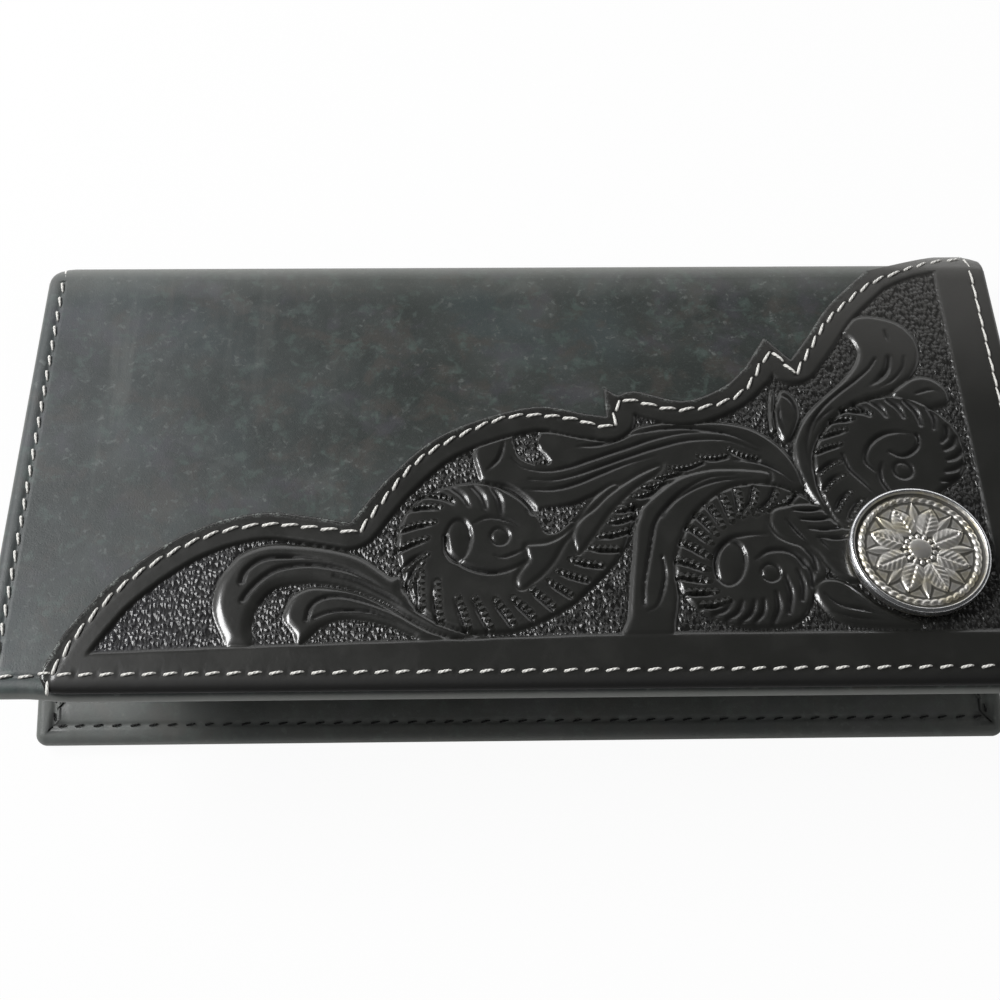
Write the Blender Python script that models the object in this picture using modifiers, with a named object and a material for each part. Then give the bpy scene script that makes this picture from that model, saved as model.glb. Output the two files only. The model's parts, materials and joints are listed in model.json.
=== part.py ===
"""Long bifold wallet in black leather, lying on its back half with the front half sprung open.

+X runs along the fold, -Y is the open edge and +Z is up. Each half is drawn as it lies closed:
u along the fold from its middle, v from the front edge to the crease, and h inwards from the
outer face of the cover. Two crease axes then turn the front half to where the fold rests.
"""
import bpy
import bmesh
from math import acos, cos, pi, radians, sin, sqrt
from mathutils import Vector

MM = 0.001

# One half, as it lies closed
WIDTH = 184 * MM
HALF_DEPTH = 86.8 * MM
CORNER_RADIUS = 1.5 * MM
CORNER_STEPS = 4
EDGE_ROUND = 0.9 * MM
EDGE_STEPS = 3
REST_OPENING = radians(18)

# Leather, cloth and clear sheet, and the gaps between layers
COVER_THICK = 1.2 * MM
LINING_THICK = 0.4 * MM
PANEL_THICK = 0.5 * MM
TIER_THICK = 0.5 * MM
FLANGE_THICK = 0.8 * MM
FLANGE_WIDTH = 5.0 * MM
EDGE_WALL = 1.2 * MM
LAYER_GAP = 0.25 * MM
SIDE_GAP = 0.3 * MM
CLOSED_GAP = 1.2 * MM

# How far the inner layers stop short of the crease
LINING_SETBACK = 1.0 * MM
PANEL_SETBACK = 4.0 * MM
FIRST_MOUTH_SETBACK = 9.0 * MM
MOUTH_STEP = 12.0 * MM
TIER_COUNT = 3
COLUMN_GAP = 0.8 * MM

# Clear identity window in the right column of the back half
WINDOW_SETBACK = 24.0 * MM
WINDOW_BORDER = 7.0 * MM
WINDOW_THICK = 0.3 * MM

# Stitching
THREAD_RADIUS = 0.25 * MM
THREAD_LIFT = 0.1 * MM
STITCH_INSET = 3.2 * MM
GROOVE_DEPTH = 0.75 * MM
GROOVE_WIDTH = 0.9 * MM
THREAD_CORNER = 1.0 * MM

# Fold leather past the creases, drawn in at its two ends
CREASE_GAP = 0.15 * MM
FOLD_END_LENGTH = 4.5 * MM
FOLD_END_DRAW = 2.0 * MM
FOLD_END_STEPS = 3
FOLD_STEPS = 14
FOLD_THREAD_STEPS = 12

# Tooled yoke on the front cover
YOKE_THICK = 1.8 * MM
YOKE_LIFT = 0.2 * MM
YOKE_EDGE_INSET = 0.3 * MM
YOKE_LEFT_MARGIN = 10.6 * MM
YOKE_STITCH_INSET = 2.0 * MM
YOKE_STITCH_TOLERANCE = 0.06 * MM
YOKE_TAB_LENGTH = 6.0 * MM
YOKE_TAB_END_WIDTH = 7.0 * MM
YOKE_TAB_LINES = 6
YOKE_TAB_STEPS = 8
TAB_THREAD_CLEAR = 0.45 * MM

# Concho and the screw that holds it
CONCHO_RADIUS = 12.2 * MM
CONCHO_HEIGHT = 2.4 * MM
CONCHO_RIM = 0.9 * MM
CONCHO_FIELD_DEPTH = 0.6 * MM
CONCHO_FROM_RIGHT = 23.9 * MM
CONCHO_FROM_FRONT = 23.6 * MM
CONCHO_SEAT_GAP = 0.2 * MM
POST_RADIUS = 1.75 * MM
POST_CLEARANCE = 0.2 * MM
POST_GRIP = 1.3 * MM
SCREW_HEAD_RADIUS = 4.5 * MM
SCREW_HEAD_CLEARANCE = 0.2 * MM
SCREW_SLOT_WIDTH = 0.9 * MM
SCREW_SLOT_DEPTH = 0.25 * MM
TURNED_STEPS = 48
HOLE_STEPS = 24

# Upper edge of the yoke from its left end to the crease, as shares of the yoke's length and of
# the half's depth. True marks a point where the cut turns sharply.
SCALLOP = [
    (0.000, 0.000, True),
    (0.026, 0.108, False),
    (0.072, 0.232, False),
    (0.142, 0.337, False),
    (0.212, 0.377, False),
    (0.252, 0.368, False),
    (0.293, 0.356, True),
    (0.334, 0.470, False),
    (0.391, 0.573, False),
    (0.480, 0.635, False),
    (0.538, 0.617, False),
    (0.560, 0.610, True),
    (0.559, 0.684, True),
    (0.573, 0.664, True),
    (0.594, 0.674, False),
    (0.643, 0.649, False),
    (0.686, 0.682, False),
    (0.714, 0.735, True),
    (0.739, 0.816, True),
    (0.765, 0.755, True),
    (0.787, 0.817, False),
    (0.817, 0.905, False),
    (0.864, 1.000, True),
]
SCALLOP_STEPS = 4

# Sizes that follow from the ones above
LINING_TOP = COVER_THICK + LAYER_GAP + LINING_THICK
PANEL_TOP = LINING_TOP + LAYER_GAP + PANEL_THICK
EDGE_THICK = PANEL_TOP + LAYER_GAP + FLANGE_THICK
HALF_THICK = PANEL_TOP + TIER_COUNT * (LAYER_GAP + TIER_THICK)
INNER_TOP = max(HALF_THICK, EDGE_THICK)
CLOSED_THICK = 2 * INNER_TOP + CLOSED_GAP
YOKE_TOP = YOKE_LIFT + YOKE_THICK
CONCHO_U = WIDTH / 2 - CONCHO_FROM_RIGHT
LAYER_SIDE = WIDTH / 2 - EDGE_WALL - SIDE_GAP
LAYER_FRONT = EDGE_WALL + SIDE_GAP
COLUMN_SIDE = WIDTH / 2 - FLANGE_WIDTH - SIDE_GAP
COLUMN_FRONT = FLANGE_WIDTH + SIDE_GAP

# The leather of the fold is as long in every pose, so its radius at rest follows
CLOSED_RADIUS = (CLOSED_THICK - COVER_THICK) / 2
FOLD_LENGTH = pi * CLOSED_RADIUS
FOLD_ANGLE = pi - REST_OPENING
FOLD_RADIUS = FOLD_LENGTH / FOLD_ANGLE
AXIS_REACH = CLOSED_RADIUS / sqrt(2)
BACK_AXIS = Vector((0, HALF_DEPTH + AXIS_REACH, CLOSED_THICK / 2 - AXIS_REACH))
FRONT_AXIS = Vector((0, HALF_DEPTH + AXIS_REACH, CLOSED_THICK / 2 + AXIS_REACH))


def clear_scene():
    for obj in list(bpy.data.objects):
        bpy.data.objects.remove(obj, do_unlink=True)


def new_collection(name):
    collection = bpy.data.collections.new(name)
    bpy.context.scene.collection.children.link(collection)
    return collection


def new_material(name, colour, roughness, metallic=0.0, alpha=1.0):
    material = bpy.data.materials.new(name)
    material.use_nodes = True
    shader = material.node_tree.nodes["Principled BSDF"]
    shader.inputs["Base Color"].default_value = (*colour, 1.0)
    shader.inputs["Roughness"].default_value = roughness
    shader.inputs["Metallic"].default_value = metallic
    shader.inputs["Alpha"].default_value = alpha
    return material


def new_empty(name, place, turn, parent):
    empty = bpy.data.objects.new(name, None)
    empty.empty_display_size = 10 * MM
    empty.location = place
    empty.rotation_euler = (turn, 0, 0)
    empty.parent = parent
    parts.objects.link(empty)
    return empty


def closed_place(u, v, h, half):
    """Point of a half in the closed wallet: the front half lies face down on the back half"""
    return Vector((u, v, h if half == "back" else CLOSED_THICK - h))


def join_half(obj, half):
    if half == "back":
        obj.parent = wallet
    else:
        obj.parent = front_crease
        obj.location = obj.location - FRONT_AXIS


def join_fold(obj):
    """The fold's pieces are drawn where they rest, and keep that place under their axis"""
    obj.parent = back_crease
    obj.matrix_parent_inverse = back_crease.matrix_world.inverted()


def add_mesh(name, bm, material, collection=None):
    mesh = bpy.data.meshes.new(name)
    bm.to_mesh(mesh)
    bm.free()
    obj = bpy.data.objects.new(name, mesh)
    if material:
        mesh.materials.append(material)
    (collection or parts).objects.link(obj)
    return obj


def box_mesh(u_span, v_span, h_span, half):
    low = closed_place(u_span[0], v_span[0], h_span[0], half)
    high = closed_place(u_span[1], v_span[1], h_span[1], half)
    size = high - low
    bm = bmesh.new()
    bmesh.ops.create_cube(bm, size=1)
    bmesh.ops.scale(bm, vec=(abs(size.x), abs(size.y), abs(size.z)), verts=bm.verts)
    bmesh.ops.translate(bm, vec=(low + high) / 2, verts=bm.verts)
    return bm


def add_box(name, u_span, v_span, h_span, half, material):
    obj = add_mesh(name, box_mesh(u_span, v_span, h_span, half), material)
    join_half(obj, half)
    return obj


def cut_with(obj, cutter, half):
    """Take the cutter away from the piece; the cutter shares the piece's half"""
    join_half(cutter, half)
    cutter.hide_render = True
    cutter.display_type = "WIRE"
    cut = obj.modifiers.new(cutter.name, "BOOLEAN")
    cut.operation = "DIFFERENCE"
    cut.solver = "EXACT"
    cut.object = cutter


def cut_box(obj, name, u_span, v_span, h_span, half):
    cut_with(obj, add_mesh(name, box_mesh(u_span, v_span, h_span, half), None, cutters), half)


def cut_round(obj, name, radius, h_span):
    """Round hole at the concho, through a piece of the front half"""
    bm = bmesh.new()
    bmesh.ops.create_cone(bm, cap_ends=True, segments=HOLE_STEPS, radius1=radius, radius2=radius,
                          depth=h_span[1] - h_span[0])
    middle = closed_place(CONCHO_U, CONCHO_FROM_FRONT, sum(h_span) / 2, "front")
    bmesh.ops.translate(bm, vec=middle, verts=bm.verts)
    cut_with(obj, add_mesh(name, bm, None, cutters), "front")


def add_thread(name, points, material, radius=THREAD_RADIUS):
    curve = bpy.data.curves.new(name, "CURVE")
    curve.dimensions = "3D"
    curve.bevel_depth = radius
    curve.bevel_resolution = 1
    curve.use_fill_caps = True
    spline = curve.splines.new("POLY")
    spline.points.add(len(points) - 1)
    for spot, point in zip(spline.points, points):
        spot.co = (*point, 1)
    curve.materials.append(material)
    obj = bpy.data.objects.new(name, curve)
    parts.objects.link(obj)
    return obj


def round_corners(points, radius):
    """Replace each inner corner of a path by a short arc of chords"""
    points = [Vector(p) for p in points]
    path = [points[0]]
    for before, corner, after in zip(points, points[1:], points[2:]):
        start = corner + (before - corner).normalized() * radius
        end = corner + (after - corner).normalized() * radius
        for share in (0, 0.5, 1):
            path.append(start.lerp(corner, share).lerp(corner.lerp(end, share), share))
    path.append(points[-1])
    return path


def edge_path(h, half, far):
    """Stitch row inside the two short edges and the front edge of a half"""
    side = WIDTH / 2 - STITCH_INSET
    flat = [(-side, far), (-side, STITCH_INSET), (side, STITCH_INSET), (side, far)]
    return round_corners([closed_place(u, v, h, half) for u, v in flat], THREAD_CORNER)


def add_cover(name, half):
    """Cover leather turned over the three outer edges as a flange that holds the inner layers"""
    bm = box_mesh((-WIDTH / 2, WIDTH / 2), (0, HALF_DEPTH - CREASE_GAP), (0, EDGE_THICK), half)
    corners = [e for e in bm.edges if abs(e.verts[0].co.z - e.verts[1].co.z) > EDGE_THICK / 2
               and max(v.co.y for v in e.verts) < HALF_DEPTH / 2]
    bmesh.ops.bevel(bm, geom=corners, offset=CORNER_RADIUS, segments=CORNER_STEPS, profile=0.5,
                    affect="EDGES")
    rims = [e for e in bm.edges if abs(e.verts[0].co.z - e.verts[1].co.z) < EDGE_THICK / 2
            and min(v.co.y for v in e.verts) < HALF_DEPTH / 2]
    bmesh.ops.bevel(bm, geom=rims, offset=EDGE_ROUND, segments=EDGE_STEPS, profile=0.5,
                    affect="EDGES")
    cover = add_mesh(name, bm, cover_leather)
    join_half(cover, half)
    inner_side = WIDTH / 2 - EDGE_WALL
    cut_box(cover, name + "_slot", (-inner_side, inner_side), (EDGE_WALL, HALF_DEPTH + EDGE_WALL),
            (COVER_THICK, EDGE_THICK - FLANGE_THICK), half)
    mouth_side = WIDTH / 2 - FLANGE_WIDTH
    cut_box(cover, name + "_mouth", (-mouth_side, mouth_side), (FLANGE_WIDTH, HALF_DEPTH + EDGE_WALL),
            (EDGE_THICK - FLANGE_THICK - LAYER_GAP / 2, EDGE_THICK + EDGE_WALL), half)
    return cover


def groove_cover(cover, half):
    """Channel that sinks the outer stitch row below the face that the wallet lies on"""
    side = WIDTH / 2 - STITCH_INSET
    wide = GROOVE_WIDTH / 2
    depth = (-GROOVE_DEPTH, GROOVE_DEPTH)
    run = (STITCH_INSET - wide, HALF_DEPTH + EDGE_WALL)
    cut_box(cover, cover.name + "_groove_left", (-side - wide, -side + wide), run, depth, half)
    cut_box(cover, cover.name + "_groove_right", (side - wide, side + wide), run, depth, half)
    cut_box(cover, cover.name + "_groove_front", (-side, side),
            (STITCH_INSET - wide, STITCH_INSET + wide), depth, half)


def mouth_of(tier):
    """Where a card tier's mouth lies, counted from the tier next to the pocket panel"""
    return HALF_DEPTH - FIRST_MOUTH_SETBACK - tier * MOUTH_STEP


def tier_top(tier):
    return PANEL_TOP + (tier + 1) * (LAYER_GAP + TIER_THICK)


def add_layers(half, u_span):
    """Lining, full-length pocket panel and the stepped card tiers of a half"""
    lining = add_box(half + "_lining", (-LAYER_SIDE, LAYER_SIDE),
                     (LAYER_FRONT, HALF_DEPTH - LINING_SETBACK),
                     (COVER_THICK + LAYER_GAP, LINING_TOP), half, lining_cloth)
    add_box(half + "_pocket_panel", (-LAYER_SIDE, LAYER_SIDE), (LAYER_FRONT, HALF_DEPTH - PANEL_SETBACK),
            (LINING_TOP + LAYER_GAP, PANEL_TOP), half, inner_leather)
    for tier in range(TIER_COUNT):
        top = tier_top(tier)
        add_box(f"{half}_card_tier_{tier + 1}", u_span, (COLUMN_FRONT, mouth_of(tier)),
                (top - TIER_THICK, top), half, inner_leather)
    return lining


def add_column_thread(half, u):
    """Row that divides the card tiers, stepping down at each mouth"""
    lift = THREAD_LIFT + THREAD_RADIUS
    step = THREAD_LIFT + 2 * THREAD_RADIUS
    spots = [(COLUMN_FRONT + STITCH_INSET, tier_top(TIER_COUNT - 1))]
    for tier in reversed(range(TIER_COUNT)):
        spots.append((mouth_of(tier) + step, tier_top(tier)))
        if tier:
            spots.append((mouth_of(tier) + step, tier_top(tier - 1)))
    spots[-1] = (mouth_of(0) - STITCH_INSET, tier_top(0))
    points = [closed_place(u, v, top + lift, half) for v, top in spots]
    join_half(add_thread(half + "_column_thread", points, black_thread), half)


def add_window():
    """Clear identity window under its leather frame, in the column beside the card tiers"""
    u_span = (COLUMN_GAP / 2, COLUMN_SIDE)
    v_span = (COLUMN_FRONT, HALF_DEPTH - WINDOW_SETBACK)
    sheet_top = PANEL_TOP + LAYER_GAP + WINDOW_THICK
    frame_low = sheet_top + LAYER_GAP
    add_box("id_window", u_span, v_span, (sheet_top - WINDOW_THICK, sheet_top), "back", clear_sheet)
    frame = add_box("id_window_frame", u_span, v_span, (frame_low, frame_low + TIER_THICK), "back",
                    inner_leather)
    cut_box(frame, "window_opening", (u_span[0] + WINDOW_BORDER, u_span[1] - WINDOW_BORDER),
            (v_span[0] + WINDOW_BORDER, v_span[1] - WINDOW_BORDER),
            (frame_low - TIER_THICK, frame_low + 2 * TIER_THICK), "back")


def smooth_run(points, steps):
    """Catmull-Rom line through the points of one smooth stretch"""
    ends = [2 * points[0] - points[1], *points, 2 * points[-1] - points[-2]]
    line = [points[0]]
    for a, b, c, d in zip(ends, ends[1:], ends[2:], ends[3:]):
        for step in range(1, steps + 1):
            t = step / steps
            line.append(0.5 * (2 * b + (c - a) * t + (2 * a - 5 * b + 4 * c - d) * t * t
                               + (3 * b - a - 3 * c + d) * t * t * t))
    return line


def scallop_runs():
    """Smooth stretches of the yoke's upper edge, each ending where the cut turns sharply"""
    left = YOKE_LEFT_MARGIN - WIDTH / 2
    right = WIDTH / 2 - YOKE_EDGE_INSET
    top = HALF_DEPTH - CREASE_GAP
    runs = []
    run = []
    for along, up, sharp in SCALLOP:
        point = Vector((left + along * (right - left),
                        YOKE_EDGE_INSET + up * (top - YOKE_EDGE_INSET)))
        run.append(point)
        if sharp and len(run) > 1:
            runs.append(smooth_run(run, SCALLOP_STEPS) if len(run) > 2 else run)
            run = [point]
    return runs


def scallop_line():
    line = []
    for run in scallop_runs():
        line += run if not line else run[1:]
    return line


def distance_to_line(point, line):
    best = None
    for a, b in zip(line, line[1:]):
        along = b - a
        share = min(1.0, max(0.0, (point - a).dot(along) / along.length_squared))
        gap = (point - a - share * along).length
        best = gap if best is None else min(best, gap)
    return best


def scallop_stitches():
    """The yoke's own stitch row: the scallop moved inwards, without the small tips"""
    line = scallop_line()
    row = []
    for a, b in zip(line, line[1:]):
        along = (b - a).normalized()
        inward = Vector((along.y, -along.x))
        for end in (a, b):
            spot = end + inward * YOKE_STITCH_INSET
            clear = distance_to_line(spot, line) > YOKE_STITCH_INSET - YOKE_STITCH_TOLERANCE
            inside = 2 * STITCH_INSET < spot.y < HALF_DEPTH - STITCH_INSET / 2
            apart = not row or (spot - row[-1]).length > THREAD_RADIUS
            if clear and inside and apart:
                row.append(spot)
    return row


def yoke_left_at(v):
    """Where the yoke's cut edge crosses a line at v from the front"""
    for a, b in zip(scallop_line(), scallop_line()[1:]):
        if a.y <= v <= b.y:
            return a.x + (b.x - a.x) * (v - a.y) / (b.y - a.y)
    return scallop_line()[0].x


def add_yoke():
    """Tooled leather cut to the scallop, laid on the front cover with flat edges at front and right"""
    right = WIDTH / 2 - YOKE_EDGE_INSET
    corner = CORNER_RADIUS
    outline = [tuple(p) for p in scallop_line()]
    outline.append((right, HALF_DEPTH - CREASE_GAP))
    outline += [(right - corner * (1 - cos(a)), YOKE_EDGE_INSET + corner * (1 - sin(a)))
                for a in (0, pi / 6, pi / 3, pi / 2)]
    curve = bpy.data.curves.new("tooled_yoke", "CURVE")
    curve.dimensions = "2D"
    curve.fill_mode = "BOTH"
    curve.extrude = YOKE_THICK / 2
    spline = curve.splines.new("POLY")
    spline.points.add(len(outline) - 1)
    for spot, point in zip(spline.points, outline):
        spot.co = (*point, 0, 1)
    spline.use_cyclic_u = True
    draft = bpy.data.objects.new("yoke_draft", curve)
    parts.objects.link(draft)
    yoke = mesh_from_curve(draft, "tooled_yoke", yoke_leather)
    yoke.location = closed_place(0, 0, -YOKE_LIFT - YOKE_THICK / 2, "front")
    join_half(yoke, "front")
    cut_round(yoke, "yoke_hole", POST_RADIUS + POST_CLEARANCE, (-2 * YOKE_TOP, 0))


def mesh_from_curve(draft, name, material):
    """A curve takes no cut, so its evaluated mesh becomes the piece, with its caps welded"""
    bpy.context.view_layer.update()
    evaluated = draft.evaluated_get(bpy.context.evaluated_depsgraph_get())
    mesh = bpy.data.meshes.new_from_object(evaluated)
    bm = bmesh.new()
    bm.from_mesh(mesh)
    bmesh.ops.remove_doubles(bm, verts=bm.verts, dist=MM / 1000)
    obj = add_mesh(name, bm, material)
    obj.matrix_world = draft.matrix_world.copy()
    curve = draft.data
    bpy.data.objects.remove(draft)
    bpy.data.curves.remove(curve)
    bpy.data.meshes.remove(mesh)
    return obj


def around_fold(u, s, h):
    """Rest place of a fold point s past the back crease; its ends are drawn in a little"""
    angle = s / FOLD_RADIUS
    radius = FOLD_RADIUS + COVER_THICK / 2 - h
    past = max(0.0, abs(u) - (WIDTH / 2 - FOLD_END_LENGTH)) / FOLD_END_LENGTH
    drawn = FOLD_END_DRAW * past * past * sin(angle) ** 3
    return Vector((u, HALF_DEPTH + radius * sin(angle) - drawn,
                   FOLD_RADIUS + COVER_THICK / 2 - radius * cos(angle)))


def add_fold_sheet(name, u_stations, s_span, h_span, material, steps):
    """Sheet bent round the fold: u_stations(share of the bend) gives its lines of points"""
    columns = len(u_stations(0.0))
    bm = bmesh.new()
    bmesh.ops.create_grid(bm, x_segments=columns - 1, y_segments=steps, size=0.5)
    inner = bmesh.ops.extrude_face_region(bm, geom=bm.faces[:])["geom"]
    inner_verts = [g for g in inner if isinstance(g, bmesh.types.BMVert)]
    bmesh.ops.translate(bm, vec=(0, 0, 1), verts=inner_verts)
    for vert in bm.verts:
        along = vert.co.y + 0.5
        column = round((vert.co.x + 0.5) * (columns - 1))
        s = s_span[0] + along * (s_span[1] - s_span[0])
        h = h_span[0] + vert.co.z * (h_span[1] - h_span[0])
        vert.co = around_fold(u_stations(along)[column], s, h)
    bmesh.ops.recalc_face_normals(bm, faces=bm.faces)
    if bm.calc_volume(signed=True) < 0:
        bmesh.ops.reverse_faces(bm, faces=bm.faces)
    obj = add_mesh(name, bm, material)
    join_fold(obj)
    return obj


def full_width_stations(side):
    """Lines across the fold, closer together where its ends are drawn in"""
    inner = WIDTH / 2 - FOLD_END_LENGTH
    ends = [inner + (side - inner) * k / FOLD_END_STEPS for k in range(FOLD_END_STEPS + 1)]
    return [-u for u in reversed(ends)] + [0.0] + ends


def even_steps(start, end, steps):
    return [start + (end - start) * k / steps for k in range(steps + 1)]


def add_fold():
    """Leather, lining, stitches and the yoke's tab between the two creases"""
    span = (CREASE_GAP, FOLD_LENGTH - CREASE_GAP)
    add_fold_sheet("spine_leather", lambda share: full_width_stations(WIDTH / 2), span,
                   (0, COVER_THICK), cover_leather, FOLD_STEPS)
    add_fold_sheet("spine_lining", lambda share: full_width_stations(LAYER_SIDE), span,
                   (COVER_THICK + LAYER_GAP, LINING_TOP), lining_cloth, FOLD_STEPS)
    add_yoke_tab()
    lift = THREAD_LIFT + THREAD_RADIUS
    side = WIDTH / 2 - STITCH_INSET
    outer = FOLD_RADIUS + COVER_THICK / 2
    first = FOLD_RADIUS * acos((outer - lift) / (outer + lift))
    last = FOLD_LENGTH - CREASE_GAP
    tab_end = last - YOKE_TAB_LENGTH - TAB_THREAD_CLEAR
    left = [around_fold(-side, s, -lift) for s in even_steps(first, last, FOLD_THREAD_STEPS)]
    join_fold(add_thread("spine_thread_left", left, white_thread))
    half_steps = FOLD_THREAD_STEPS // 2
    right = [around_fold(side, s, -lift) for s in even_steps(first, tab_end, half_steps)]
    right += [around_fold(side, s, -YOKE_TOP - lift) for s in even_steps(tab_end, last, half_steps)]
    join_fold(add_thread("spine_thread_right", right, white_thread))


def add_yoke_tab():
    """The yoke's right end goes over the fold and stops near its outermost line"""
    right = WIDTH / 2 - YOKE_EDGE_INSET
    start = scallop_line()[-1].x
    end = right - YOKE_TAB_END_WIDTH

    def stations(share):
        left = end + (start - end) * share * share
        return even_steps(left, right, YOKE_TAB_LINES)

    s_span = (FOLD_LENGTH - CREASE_GAP - YOKE_TAB_LENGTH, FOLD_LENGTH - CREASE_GAP)
    add_fold_sheet("yoke_fold_tab", stations, s_span, (-YOKE_TOP, -YOKE_LIFT), yoke_leather,
                   YOKE_TAB_STEPS)


def turned(name, profile, material):
    """Turn a profile of (radius, height), which runs down its outer side, about local Z"""
    bm = bmesh.new()
    verts = [bm.verts.new((r, 0, z)) for r, z in profile]
    for a, b in zip(verts, verts[1:]):
        bm.edges.new((a, b))
    obj = add_mesh(name, bm, material)
    screw = obj.modifiers.new("turn", "SCREW")
    screw.angle = 2 * pi
    screw.steps = TURNED_STEPS
    screw.render_steps = TURNED_STEPS
    screw.use_merge_vertices = True
    screw.merge_threshold = MM / 100
    return obj


def add_concho():
    """Round screw-back ornament with a raised rim, and its slotted screw under the cover"""
    inner = CONCHO_RADIUS - CONCHO_RIM
    field = CONCHO_HEIGHT - CONCHO_FIELD_DEPTH
    bore = POST_RADIUS + POST_CLEARANCE
    profile = [(0, field + CONCHO_FIELD_DEPTH / 3), (inner / 2, field + CONCHO_FIELD_DEPTH / 5),
               (inner - CONCHO_RIM / 3, field), (inner, CONCHO_HEIGHT - CONCHO_RIM / 3),
               (inner + CONCHO_RIM / 3, CONCHO_HEIGHT), (CONCHO_RADIUS - CONCHO_RIM / 4, CONCHO_HEIGHT),
               (CONCHO_RADIUS, CONCHO_HEIGHT - CONCHO_RIM / 2), (CONCHO_RADIUS, CONCHO_RIM / 2),
               (CONCHO_RADIUS - CONCHO_RIM / 2, 0), (bore, 0), (bore, POST_GRIP), (0, POST_GRIP)]
    concho = turned("concho", profile, nickel)
    concho.location = closed_place(CONCHO_U, CONCHO_FROM_FRONT, -YOKE_TOP - CONCHO_SEAT_GAP, "front")
    join_half(concho, "front")

    head = LINING_THICK + 2 * LAYER_GAP - 2 * SCREW_HEAD_CLEARANCE
    grip = COVER_THICK + SCREW_HEAD_CLEARANCE + YOKE_TOP + CONCHO_SEAT_GAP + POST_GRIP
    post = grip - POST_CLEARANCE
    edge = POST_RADIUS / 6
    profile = [(0, post), (POST_RADIUS - edge, post), (POST_RADIUS, post - edge), (POST_RADIUS, 0),
               (SCREW_HEAD_RADIUS, 0), (SCREW_HEAD_RADIUS, -head), (0, -head)]
    screw = turned("concho_screw", profile, nickel)
    seat = COVER_THICK + SCREW_HEAD_CLEARANCE
    screw.location = closed_place(CONCHO_U, CONCHO_FROM_FRONT, seat, "front")
    join_half(screw, "front")
    cut_box(screw, "screw_slot", (CONCHO_U - SCREW_HEAD_RADIUS * 2, CONCHO_U + SCREW_HEAD_RADIUS * 2),
            (CONCHO_FROM_FRONT - SCREW_SLOT_WIDTH / 2, CONCHO_FROM_FRONT + SCREW_SLOT_WIDTH / 2),
            (seat + head - SCREW_SLOT_DEPTH, seat + head * 2), "front")


def add_back_half():
    cover = add_cover("back_cover", "back")
    groove_cover(cover, "back")
    add_layers("back", (-COLUMN_SIDE, -COLUMN_GAP / 2))
    add_window()
    add_column_thread("back", -COLUMN_GAP / 2 - STITCH_INSET)
    far = HALF_DEPTH - STITCH_INSET / 2
    sunk = edge_path(GROOVE_DEPTH / 2, "back", far)
    join_half(add_thread("back_outer_thread", sunk, white_thread), "back")
    inner = EDGE_THICK + THREAD_LIFT + THREAD_RADIUS
    join_half(add_thread("back_inner_thread", edge_path(inner, "back", far), black_thread), "back")


def add_front_half():
    cover = add_cover("front_cover", "front")
    cut_round(cover, "cover_hole", POST_RADIUS + POST_CLEARANCE, (-COVER_THICK, 2 * COVER_THICK))
    lining = add_layers("front", (-COLUMN_SIDE, COLUMN_SIDE))
    cut_round(lining, "lining_hole", SCREW_HEAD_RADIUS + SIDE_GAP, (0, PANEL_TOP))
    add_column_thread("front", 0)
    add_yoke()
    add_concho()
    lift = THREAD_LIFT + THREAD_RADIUS
    far = HALF_DEPTH - STITCH_INSET / 2
    inner = edge_path(EDGE_THICK + lift, "front", far)
    join_half(add_thread("front_inner_thread", inner, black_thread), "front")
    side = WIDTH / 2 - STITCH_INSET
    step = yoke_left_at(STITCH_INSET) - 2 * lift
    on_cover = [closed_place(u, v, -lift, "front") for u, v in
                ((-side, far), (-side, STITCH_INSET), (step, STITCH_INSET))]
    on_yoke = [closed_place(u, v, -YOKE_TOP - lift, "front") for u, v in
               ((step, STITCH_INSET), (side, STITCH_INSET), (side, far))]
    row = round_corners(on_cover, THREAD_CORNER) + round_corners(on_yoke, THREAD_CORNER)
    join_half(add_thread("front_outer_thread", row, white_thread), "front")
    scallop = [closed_place(p.x, p.y, -YOKE_TOP - lift, "front") for p in scallop_stitches()]
    join_half(add_thread("yoke_thread", scallop, white_thread), "front")


def footprint():
    """Lowest and highest corner of all the pieces as they rest"""
    bpy.context.view_layer.update()
    depsgraph = bpy.context.evaluated_depsgraph_get()
    spots = []
    for obj in parts.objects:
        if obj.type == "EMPTY":
            continue
        evaluated = obj.evaluated_get(depsgraph)
        spots += [evaluated.matrix_world @ vert.co for vert in evaluated.to_mesh().vertices]
        evaluated.to_mesh_clear()
    low = Vector([min(p[k] for p in spots) for k in range(3)])
    high = Vector([max(p[k] for p in spots) for k in range(3)])
    return low, high


clear_scene()
parts = new_collection("rodeo_wallet")
cutters = new_collection("cutters")

cover_leather = new_material("waxed_cover_leather", (0.075, 0.085, 0.088), 0.55)
yoke_leather = new_material("tooled_black_leather", (0.022, 0.020, 0.018), 0.38)
inner_leather = new_material("inner_leather", (0.05, 0.055, 0.056), 0.6)
lining_cloth = new_material("lining_cloth", (0.03, 0.03, 0.032), 0.9)
white_thread = new_material("white_thread", (0.72, 0.71, 0.67), 0.7)
black_thread = new_material("black_thread", (0.02, 0.02, 0.02), 0.7)
nickel = new_material("aged_nickel", (0.56, 0.54, 0.50), 0.32, metallic=1.0)
clear_sheet = new_material("clear_sheet", (0.85, 0.87, 0.88), 0.15, alpha=0.35)

wallet = new_empty("wallet", (0, 0, 0), 0, None)
back_crease = new_empty("back_crease", BACK_AXIS, -REST_OPENING / 2, wallet)
front_crease = new_empty("front_crease", FRONT_AXIS - BACK_AXIS, -REST_OPENING / 2, back_crease)
bpy.context.view_layer.update()

add_back_half()
add_front_half()
add_fold()

low, high = footprint()
wallet.location.y = -(low.y + high.y) / 2
bpy.context.view_layer.update()
print("size", high - low)
print("back crease", back_crease.matrix_world.translation)
print("front crease", front_crease.matrix_world.translation)
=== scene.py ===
import json
import bpy
import numpy as np
from math import atan2, cos, pi, radians, sin
from mathutils import Matrix, Vector


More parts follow.
